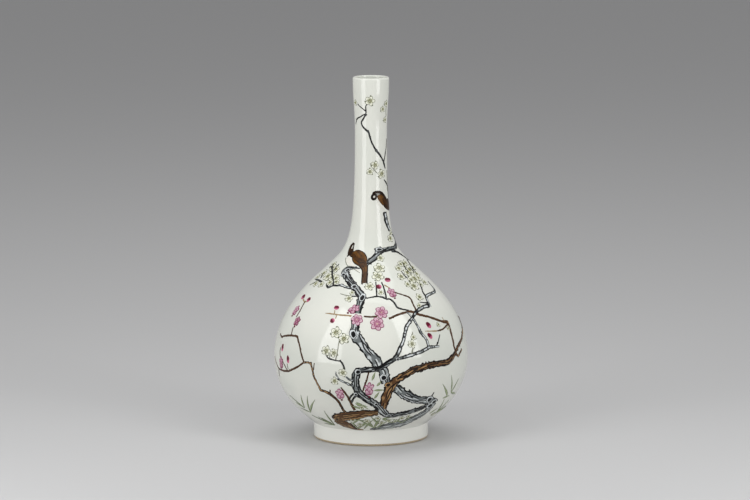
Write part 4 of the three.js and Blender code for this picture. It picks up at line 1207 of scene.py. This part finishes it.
# White blossoms that stand for no node
LEFT_BLOSSOMS = {
    "belly_blossoms": [
        (-22.6, 124.6, 6.4, 10), (-16.8, 119, 6, 30), (-27.4, 106, 5.4, 0), (-22.2, 104.4, 4.6, 40),
        (-16.4, 84.6, 4.6, 0), (-21.6, 75.4, 4.4, 20),
    ],
    "foot_blossoms": [
        (-14, 31.2, 3.6, 0), (-9, 25, 3.4, 20), (-3, 30, 3.6, 40), (5, 33.6, 3, 0), (8.6, 27.4, 3.4, 10),
        (14, 30, 3.2, 30), (19.6, 29, 3, 0), (24, 32.4, 3, 20), (29, 33.6, 2.6, 0), (-6, 47, 2.8, 10),
        (56.6, 31, 3, 0),
    ],
}
# Where each spray starts, and where its leaves end
BAMBOO = {
    "bamboo_left": [
        ((-51, 34.3), [(-43.8, 55.4), (-38.2, 52)]), ((-54.6, 38.6), [(-50, 55), (-67, 50.4), (-64, 43)]),
        ((-51, 34.3), [(-62, 37)]),
    ],
    "bamboo_left_low": [((-34, 21.6), [(-34.8, 40), (-42.7, 30), (-46, 30.6), (-45.6, 22.4), (-53, 30.8)])],
    "bamboo_centre": [
        ((-2, 29), [(-10.6, 19.8), (-13, 32), (2.8, 20.6)]),
        ((3, 20.4), [(-4, 30), (-9, 31), (7.6, 34), (5.4, 32)]), ((-12, 20), [(-16.4, 29)]),
        ((8.6, 33), [(12, 29.6), (15, 34)]), ((2, 57), [(5.2, 65)]), ((1.8, 66.4), [(8.2, 66.8)]),
        ((3.4, 71), [(6.2, 76.4)]), ((0.6, 77), [(2.6, 86.6)]), ((-10, 51.4), [(-4.6, 46), (-2, 47.8)]),
        ((16, 27), [(27, 33), (10, 33.6)]), ((-15.5, 25.5), [(-6.5, 34.5)]), ((-13.4, 18.6), [(-2.2, 30.1)]),
        ((-6.5, 19.1), [(2.3, 32.7)]), ((5.9, 26), [(-0.6, 36.5)]), ((4.6, 20.5), [(14.7, 31.5)]),
        ((29.6, 24.6), [(16.2, 32)]), ((25.5, 26), [(32.5, 34)]), ((-13.6, 49.3), [(-4.6, 43.9)]),
        ((-9.4, 53.1), [(-1.3, 44.5)]),
    ],
    "bamboo_right": [
        ((62, 54), [(55.6, 75), (66.4, 68.4), (74.4, 49.4)]), ((58.8, 50.6), [(48.2, 67.6), (54, 60)]),
        ((54, 50), [(62, 51)]),
    ],
    "bamboo_right_low": [
        ((60.6, 31.6), [(57, 48.4), (66, 45.4), (71, 37)]), ((50, 33), [(56, 38.4)]),
        ((61.3, 31.1), [(64.7, 41.7)]), ((54.8, 30.3), [(76, 35)]),
    ],
}
# A bird is strokes of plumage and of thin washes, and an eye
BIRDS = {
    "lower_bird": [
        ("breast", 0, [
            (-44, 194.6, 2), (-41.8, 191.8, 3.6), (-34.4, 189, 3.2), (-24.2, 185.4, 1.6), (-14.7, 181, 0.8),
        ]),
        ("line", 2, [
            (-49.3, 193.1, 0.4), (-45.2, 190, 0.4), (-38.6, 187, 0.4), (-30.6, 184.7, 0.4),
            (-22.6, 183.4, 0.4), (-13.8, 180.4, 0.3),
        ]),
        ("head", 3, [(-45.6, 197.4, 2.4), (-46.4, 195.8, 1.5), (-48.3, 193.8, 0.5)]),
        ("body", 2, [(-44, 197.6, 3), (-37.8, 197.1, 4), (-29, 197, 5)]),
        ("body", 3, [
            (-7.2, 171.4, 3.3), (-7.6, 178, 3.3), (-8.2, 183.3, 3.6), (-11.8, 188.2, 5.8), (-17.3, 191.8, 8),
            (-23.4, 195, 8.2), (-30, 197.6, 6.2), (-36.6, 199, 3),
        ]),
        ("head", 4, [
            (-44.2, 195.4, 2.6), (-45, 198, 3.9), (-46.8, 201, 4), (-47.2, 204.4, 3.3), (-43.6, 208, 1.5),
        ]),
        ("breast", 5, [(-45, 201.6, 0.6), (-44.6, 203.7, 0.8), (-44.2, 205.8, 0.5)]),
        ("head", 3, [(-4.4, 181, 0.9), (-4.6, 175, 1), (-3.6, 169.8, 0.4)]),
        ("head", 3, [(-10, 171, 0.9), (-8, 170.6, 0.7)]),
        ("head", 4, [(-9.6, 190.6, 0.5), (-14, 189.6, 0.8), (-19, 189.8, 0.9), (-25, 191.4, 0.5)]),
        ("head", 4, [(-12, 187, 0.4), (-9, 184, 0.5), (-8.6, 176, 0.3)]),
    ],
    "upper_bird": [
        ("breast", 1, [(19, 255.6, 1), (26, 250.6, 1.6), (36, 246.4, 1.6), (50, 242.6, 1.4)]),
        ("mauve", 2, [(15, 259.6, 1.2), (21, 259.2, 2.6), (28, 257.4, 3)]),
        ("gold", 3, [(24, 258, 1.6), (31, 255.6, 4), (40, 253, 4.8), (52, 249.6, 4.6)]),
        ("wing", 4, [
            (42, 255, 1.4), (50, 251, 4), (60, 248.4, 5.8), (76, 246.4, 6.4), (94, 244.4, 5), (110, 242, 1.8),
        ]),
        ("head", 5, [
            (6, 259, 1), (10, 260.4, 1.3), (16, 261, 1.4), (28, 261, 1.6), (40, 259.4, 1.6), (50, 256.4, 1.6),
            (60, 253, 1.4),
        ]),
        ("eye", 4, (10.6, 256.4, 3.4, 4.1, -24)),
    ],
}


# How finely each kind of stroke is laid, and how rough its edges are
BRUSHES = {
    "limb": {"columns": 34, "pace": 0.4, "ragged": 0.14, "thorns": 1.3},
    "branch": {"columns": 18, "pace": 0.45, "ragged": 0.18, "thorns": 0.6},
    "twig": {"columns": 8, "pace": 0.5, "ragged": 0.2, "thorns": 0.5},
    "faint": {"columns": 6, "pace": 0.7, "ragged": 0.25},
}
# The line round a knot, and how far what lies on other strokes stands over its level
KNOT_LINE = 0.9
OVER = 0.04
# Number of petals in a ring, and their reach and their size as shares of the blossom's radius
OUTER_ROSE = (6, 0.62, 0.42)
INNER_ROSE = (5, 0.3, 0.26)
WHITE_PETALS = (5, 0.6, 0.42)
# How far each petal lies over the last, and how broad a folded one is for the blossom's half width
PETAL_LAP = 0.012
FOLDED_BREADTH = 1.125
# Sizes of the hearts and reach of the dabs round a white blossom, as shares of its radius
ROSE_HEART = 0.2
WHITE_HEART = 0.13
DAB_REACH = 0.95
# A dab's tilt in degrees for each radian that it lies round its blossom, so that it points outwards
DAB_TILT = 57
# A stamen's points: reach as a share of the blossom's radius, and half width
STAMEN = ((0.1, 0.2), (0.4, 0.26), (0.72, 0.16))
# Where a white blossom's dabs and stamens are, in degrees round from its tilt
DAB_TURNS = np.array([80, 188, 296])
STAMEN_TURNS = np.array([36, 108, 180, 252, 324])
# The thin halo round a bud
HALO_WIDTH = 0.5
HALO_RELIEF = 0.06
# Half widths of a bamboo leaf, and how far along it is widest
LEAF_STALK, LEAF_HALF, LEAF_TIP = 0.35, 1.35, 0.12
LEAF_WIDEST = 0.4

def painter(context):
    return Painting(Outline(context.scene.vase_form)), shared_material("overglaze_enamel", enamel_material)


def relief(level):
    """How far a patch stands out of the glaze, by its level."""
    return 0.16 + 0.07 * level


def paint_wood(context, woods, kind, slot):
    """Paints each motif of wood: its limbs, its twigs and its knots."""
    colours = context.scene.vase_enamels
    dark, mid, light = shades(colours, kind)
    line, pale = dark, tone(colours, "faint")
    if kind == "brown":
        line, pale = mix(dark, mid, 0.5), mix(pale, light, 0.6)
    for order, (node, strokes) in enumerate(woods.items()):
        painting, enamel = painter(context)
        for number, (style, level, path) in enumerate(strokes):
            seed = 10 * order + number
            paints = {
                "limb": bark(dark, mid, light, seed),
                "branch": hollow(dark, mid, light, seed),
                "twig": twig(line, mid, seed),
                "faint": wash(pale),
                "knot": knot(dark, light),
            }
            if style == "knot":
                *place, half, long_half, tilt = path
                edge = oval(half + KNOT_LINE, long_half + KNOT_LINE, 0.35, seed)
                painting.disc(*place, edge, paints[style], tilt, relief(level) + OVER, rings=14)
            else:
                painting.stroke(path, paints[style], relief(level), seed=seed, **BRUSHES[style])
        painting.piece(node, enamel, slot)


class VASE_OT_grey_wood(bpy.types.Operator):
    """Paints the grey plum wood with its knots"""

    bl_idname = "vase.grey_wood"
    bl_label = "Grey plum wood"

    def execute(self, context):
        paint_wood(context, GREY_WOOD, "grey", "grey_bark_enamel")
        return {"FINISHED"}


class VASE_OT_brown_wood(bpy.types.Operator):
    """Paints the brown plum wood and its twigs"""

    bl_idname = "vase.brown_wood"
    bl_label = "Brown plum wood"

    def execute(self, context):
        paint_wood(context, BROWN_WOOD, "brown", "brown_bark_enamel")
        return {"FINISHED"}


def ring_of_petals(painting, place, radius, tilt, petals, lift, tint, seed):
    """Petals round a centre, each a little higher than the last."""
    count, reach, size = petals
    for number in range(count):
        turn = math.radians(tilt) + 2 * math.pi * number / count
        away = radius * (reach + 0.1 * (mottle(number * 1.7, 3, seed) - 0.5))
        where = painting.outline.ray(*place, away, turn)
        edge = oval(size * radius, 0.94 * size * radius, 0.35, seed + number)
        painting.disc(*where, edge, tint, math.degrees(turn), lift + PETAL_LAP * number, rings=9, sectors=36)


class VASE_OT_blossoms(bpy.types.Operator):
    """Paints the rose and white blossoms and the crimson buds"""

    bl_idname = "vase.blossoms"
    bl_label = "Blossoms and buds"

    def execute(self, context):
        colours = context.scene.vase_enamels
        self.open_roses(context, colours)
        self.folded_roses(context, colours)
        self.buds(context, colours)
        self.white_blossoms(context, colours)
        return {"FINISHED"}

    def open_roses(self, context, colours):
        """Rose blossoms that face outwards: two rings of petals round a heart."""
        dark, mid, light = shades(colours, "rose")
        rose, inner_rose = petal(dark, mid, light, 0.24), petal(dark, light, mid, 0.34)
        for seed, (node, (*place, radius, tilt)) in enumerate(ROSE_BLOSSOMS.items()):
            painting, enamel = painter(context)
            lift = relief(3 + seed % 2)
            ring_of_petals(painting, place, radius, tilt, OUTER_ROSE, lift, rose, seed)
            ring_of_petals(painting, place, radius, tilt + 30, INNER_ROSE, lift + 0.08, inner_rose, seed)
            heart = heart_paint(tone(colours, "rose_heart"), dark, seed)
            edge = oval(ROSE_HEART * radius, ROSE_HEART * radius)
            painting.disc(*place, edge, heart, relief=lift + 0.16, rings=6, sectors=24)
            painting.piece(node, enamel, "rose_enamel")

    def folded_roses(self, context, colours):
        """Rose blossoms seen from the side: folded petals on a crimson calyx."""
        dark, mid, light = shades(colours, "rose")
        crimson = tone(colours, "crimson")
        for order, (node, blossoms) in enumerate(SIDE_BLOSSOMS.items()):
            painting, enamel = painter(context)
            step = painting.outline.step
            for *place, half, long_half, tilt, depth in blossoms:
                root, tip = mix(mid, dark, 0.8 * depth), mix(light, mid, depth)
                folded = petal(mix(dark, crimson, 0.6 * depth), root, tip, 0.3 + 0.1 * depth)
                lean = math.radians(tilt)
                for count, (x, y, turn, size) in enumerate(FOLDED_PETALS):
                    where = step(*place, *turned(x * half, y * long_half, lean))
                    edge = oval(size * long_half, FOLDED_BREADTH * size * half, 0.4, 10 * order + count)
                    lift = relief(3) + PETAL_LAP * count
                    painting.disc(*where, edge, folded, tilt + turn, lift, rings=10, sectors=40)
                where = step(*place, *turned(0, -0.9 * long_half, lean))
                calyx = oval(0.3 * half, 0.24 * half)
                painting.disc(*where, calyx, wash(crimson), tilt, relief(4), rings=5, sectors=20)
            painting.piece(node, enamel, "rose_enamel")

    def buds(self, context, colours):
        """Crimson buds, each with a thin halo of pink."""
        halo = wash(tone(colours, "halo"))
        bud = bud_paint(*(tone(colours, name) for name in ("crimson", "bud_cup", "rose_light")))
        for order, (node, buds) in enumerate(BUDS.items()):
            painting, enamel = painter(context)
            for number, (*place, half, long_half, tilt) in enumerate(buds):
                round_it = oval(half + HALO_WIDTH, long_half + HALO_WIDTH)
                painting.disc(*place, round_it, halo, tilt, HALO_RELIEF, rings=6, sectors=36)
                edge = oval(half, long_half, 0.2, 10 * order + number)
                painting.disc(*place, edge, bud, tilt, relief(3), rings=18, sectors=60)
            painting.piece(node, enamel, "crimson_enamel")

    def white_blossoms(self, context, colours):
        """White blossoms: a ring of petals, a speckled heart, and stamens between dabs at the rim."""
        line, stamen = tone(colours, "white_line"), tone(colours, "stamen")
        white = petal(line, tone(colours, "white_root"), tone(colours, "white_petal"), 0.2, -0.2)
        hair_tint = wash(mix(line, stamen, 0.5))
        for order, (node, blossoms) in enumerate((WHITE_BLOSSOMS | LEFT_BLOSSOMS).items()):
            painting, enamel = painter(context)
            ray = painting.outline.ray
            for number, (*place, radius, tilt) in enumerate(blossoms):
                seed = 10 * order + number
                ring_of_petals(painting, place, radius, tilt, WHITE_PETALS, relief(1), white, seed)
                heart = heart_paint(stamen, line, seed)
                edge = oval(WHITE_HEART * radius, WHITE_HEART * radius, 0.5, seed)
                painting.disc(*place, edge, heart, relief=relief(2), rings=6, sectors=24)
                dab = oval(0.09 * radius + 0.2, 0.16 * radius + 0.2, 0.5, seed)
                for turn in np.radians(tilt + DAB_TURNS):
                    where = ray(*place, DAB_REACH * radius, turn)
                    painting.disc(*where, dab, wash(line), DAB_TILT * turn, relief(2), rings=4, sectors=16)
                for turn in np.radians(tilt + STAMEN_TURNS):
                    hair = [(*ray(*place, reach * radius, turn), half) for reach, half in STAMEN]
                    painting.stroke(hair, hair_tint, relief(2) - 0.02, columns=4, pace=0.6)
            painting.piece(node, enamel, "white_petal_enamel")


class VASE_OT_bamboo(bpy.types.Operator):
    """Paints the bamboo sprays round the foot"""

    bl_idname = "vase.bamboo"
    bl_label = "Bamboo"

    def execute(self, context):
        colours = context.scene.vase_enamels
        leaf = leaf_paint(tone(colours, "leaf_dark"), tone(colours, "leaf_mid"))
        for node, sprays in BAMBOO.items():
            painting, enamel = painter(context)
            for foot, tips in sprays:
                for order, tip in enumerate(tips):
                    middle = [start + LEAF_WIDEST * (end - start) for start, end in zip(foot, tip)]
                    path = [(*foot, LEAF_STALK), (*middle, LEAF_HALF), (*tip, LEAF_TIP)]
                    painting.stroke(path, leaf, relief(1) + 0.02 * order, columns=10, pace=0.8)
            painting.piece(node, enamel, "bamboo_green_enamel")
        return {"FINISHED"}


class VASE_OT_birds(bpy.types.Operator):
    """Paints the two brown birds"""

    bl_idname = "vase.birds"
    bl_label = "Birds"

    def execute(self, context):
        colours = context.scene.vase_enamels
        dark, mid, light = shades(colours, "bird")
        breast = tone(colours, "breast")
        paints = {
            "body": plumage(dark, mid, light, 3),
            "gold": plumage(mid, 0.5 * (mid + light), light, 5),
            "wing": plumage(dark, 0.5 * mid, mid, 7),
            "head": plumage(dark, 0.3 * mid, 0.6 * mid, 6),
            "breast": wash(breast),
            "mauve": wash(0.42 * breast),
            "line": wash(tone(colours, "faint")),
            "eye": eye_paint(dark, breast),
        }
        for node, strokes in BIRDS.items():
            painting, enamel = painter(context)
            for style, level, path in strokes:
                if style == "eye":
                    *place, half, long_half, tilt = path
                    painting.disc(*place, oval(half, long_half), paints[style], tilt, relief(level) + OVER)
                else:
                    painting.stroke(path, paints[style], relief(level), columns=30, pace=0.4)
            painting.piece(node, enamel, "bird_brown_enamel")
        return {"FINISHED"}


# Floor, lamps and camera

# The photo's frame in pixels: its lens, and where the vase's axis and the camera's aim lie in it
PHOTO_WIDTH, PHOTO_HEIGHT = 750, 500
FOCAL_PIXELS = 4007
AXIS_PIXEL_X, AIM_PIXEL_Y = 370.9, 257.3
AIM_HEIGHT = 0.190
SENSOR = 36
FLOOR_SIZE = (16, 12)
AIR = (0.75, 0.75, 0.76)
AIR_STRENGTH = 0.475
# Each softbox's place and aim in metres, its width and height, and its watts
SOFTBOXES = {
    "left_softbox": ((-0.70, -0.62, 0.82), (0, 0, 0.82), (0.48, 1.5), 6.6),
    "right_softbox": ((0.72, -0.66, 0.82), (0, 0, 0.82), (0.38, 1.3), 5.8),
    "top_softbox": ((0, 0.2, 2.6), (0, 0, 0.2), (2.2, 2.2), 25),
}


class VASE_OT_studio(bpy.types.Operator):
    """Sets the pale floor, the soft lamps and the camera"""

    bl_idname = "vase.studio"
    bl_label = "Studio"

    def execute(self, context):
        studio = context.scene.vase_studio
        self.floor(studio)
        for name, box in SOFTBOXES.items():
            self.lamp(name, *box)
        self.world(context)
        self.camera(context, studio)
        context.scene.view_settings.view_transform = "Standard"
        return {"FINISHED"}

    def floor(self, studio):
        """A plain pale floor that reaches past the picture's top."""
        bpy.ops.object.select_all(action="DESELECT")
        bpy.ops.mesh.primitive_plane_add(size=1, location=(0, 0, 0))
        floor = bpy.context.active_object
        floor.name = "studio_floor"
        floor.scale = (*FLOOR_SIZE, 1)
        bpy.ops.object.transform_apply(location=True, rotation=True, scale=True)
        material, nodes, links, surface = node_tree("studio_paper")
        surface.inputs["Base Color"].default_value = (*studio.floor, 1)
        surface.inputs["Roughness"].default_value = 0.8
        floor.data.materials.append(material)

    def lamp(self, name, place, aim, size, watts):
        data = bpy.data.lights.new(name, "AREA")
        data.shape = "RECTANGLE"
        data.size, data.size_y = size
        data.energy = watts
        lamp = bpy.data.objects.new(name, data)
        lamp.location = place
        lamp.rotation_euler = (Vector(aim) - Vector(place)).to_track_quat("-Z", "Y").to_euler()
        bpy.context.collection.objects.link(lamp)

    def world(self, context):
        """The air's even light."""
        world = bpy.data.worlds.new("studio_air")
        world.use_nodes = True
        background = world.node_tree.nodes["Background"]
        background.inputs["Color"].default_value = (*AIR, 1)
        background.inputs["Strength"].default_value = AIR_STRENGTH
        context.scene.world = world

    def camera(self, context, studio):
        data = bpy.data.cameras.new("photo_camera")
        data.sensor_width = SENSOR
        data.lens = FOCAL_PIXELS / PHOTO_WIDTH * SENSOR
        data.shift_x = (PHOTO_WIDTH / 2 - AXIS_PIXEL_X) / PHOTO_WIDTH
        data.shift_y = (AIM_PIXEL_Y - PHOTO_HEIGHT / 2) / PHOTO_WIDTH
        camera = bpy.data.objects.new("photo_camera", data)
        back_along = Vector((0, -math.cos(studio.elevation), math.sin(studio.elevation)))
        camera.location = Vector((0, 0, AIM_HEIGHT)) + back_along * studio.distance
        camera.rotation_euler = (-back_along).to_track_quat("-Z", "Y").to_euler()
        bpy.context.collection.objects.link(camera)
        context.scene.camera = camera


STEPS = (
    VASE_OT_studio,
    VASE_OT_porcelain,
    VASE_OT_glaze,
    VASE_OT_grey_wood,
    VASE_OT_brown_wood,
    VASE_OT_blossoms,
    VASE_OT_bamboo,
    VASE_OT_birds,
)
GROUPS = {
    "vase_form": VaseForm,
    "vase_glaze": VaseGlaze,
    "vase_enamels": VaseEnamels,
    "vase_studio": VaseStudio,
}


class VASE_PT_panel(bpy.types.Panel):
    bl_idname = "VASE_PT_panel"
    bl_label = "Famille rose vase"
    bl_space_type = "VIEW_3D"
    bl_region_type = "UI"
    bl_category = "Vase"

    def draw(self, context):
        for step in STEPS:
            self.layout.operator(step.bl_idname)
        for name, group in GROUPS.items():
            settings = getattr(context.scene, name)
            for field in group.__annotations__:
                self.layout.prop(settings, field)


def register():
    for group in GROUPS.values():
        bpy.utils.register_class(group)
    for step in (*STEPS, VASE_PT_panel):
        bpy.utils.register_class(step)
    for name, group in GROUPS.items():
        setattr(bpy.types.Scene, name, bpy.props.PointerProperty(type=group))


def unregister():
    for name in GROUPS:
        delattr(bpy.types.Scene, name)
    for step in (VASE_PT_panel, *reversed(STEPS)):
        bpy.utils.unregister_class(step)
    for group in reversed(GROUPS.values()):
        bpy.utils.unregister_class(group)


def main():
    register()
    for step in STEPS:
        family, operation = step.bl_idname.split(".")
        getattr(getattr(bpy.ops, family), operation)()


if __name__ == "__main__":
    main()
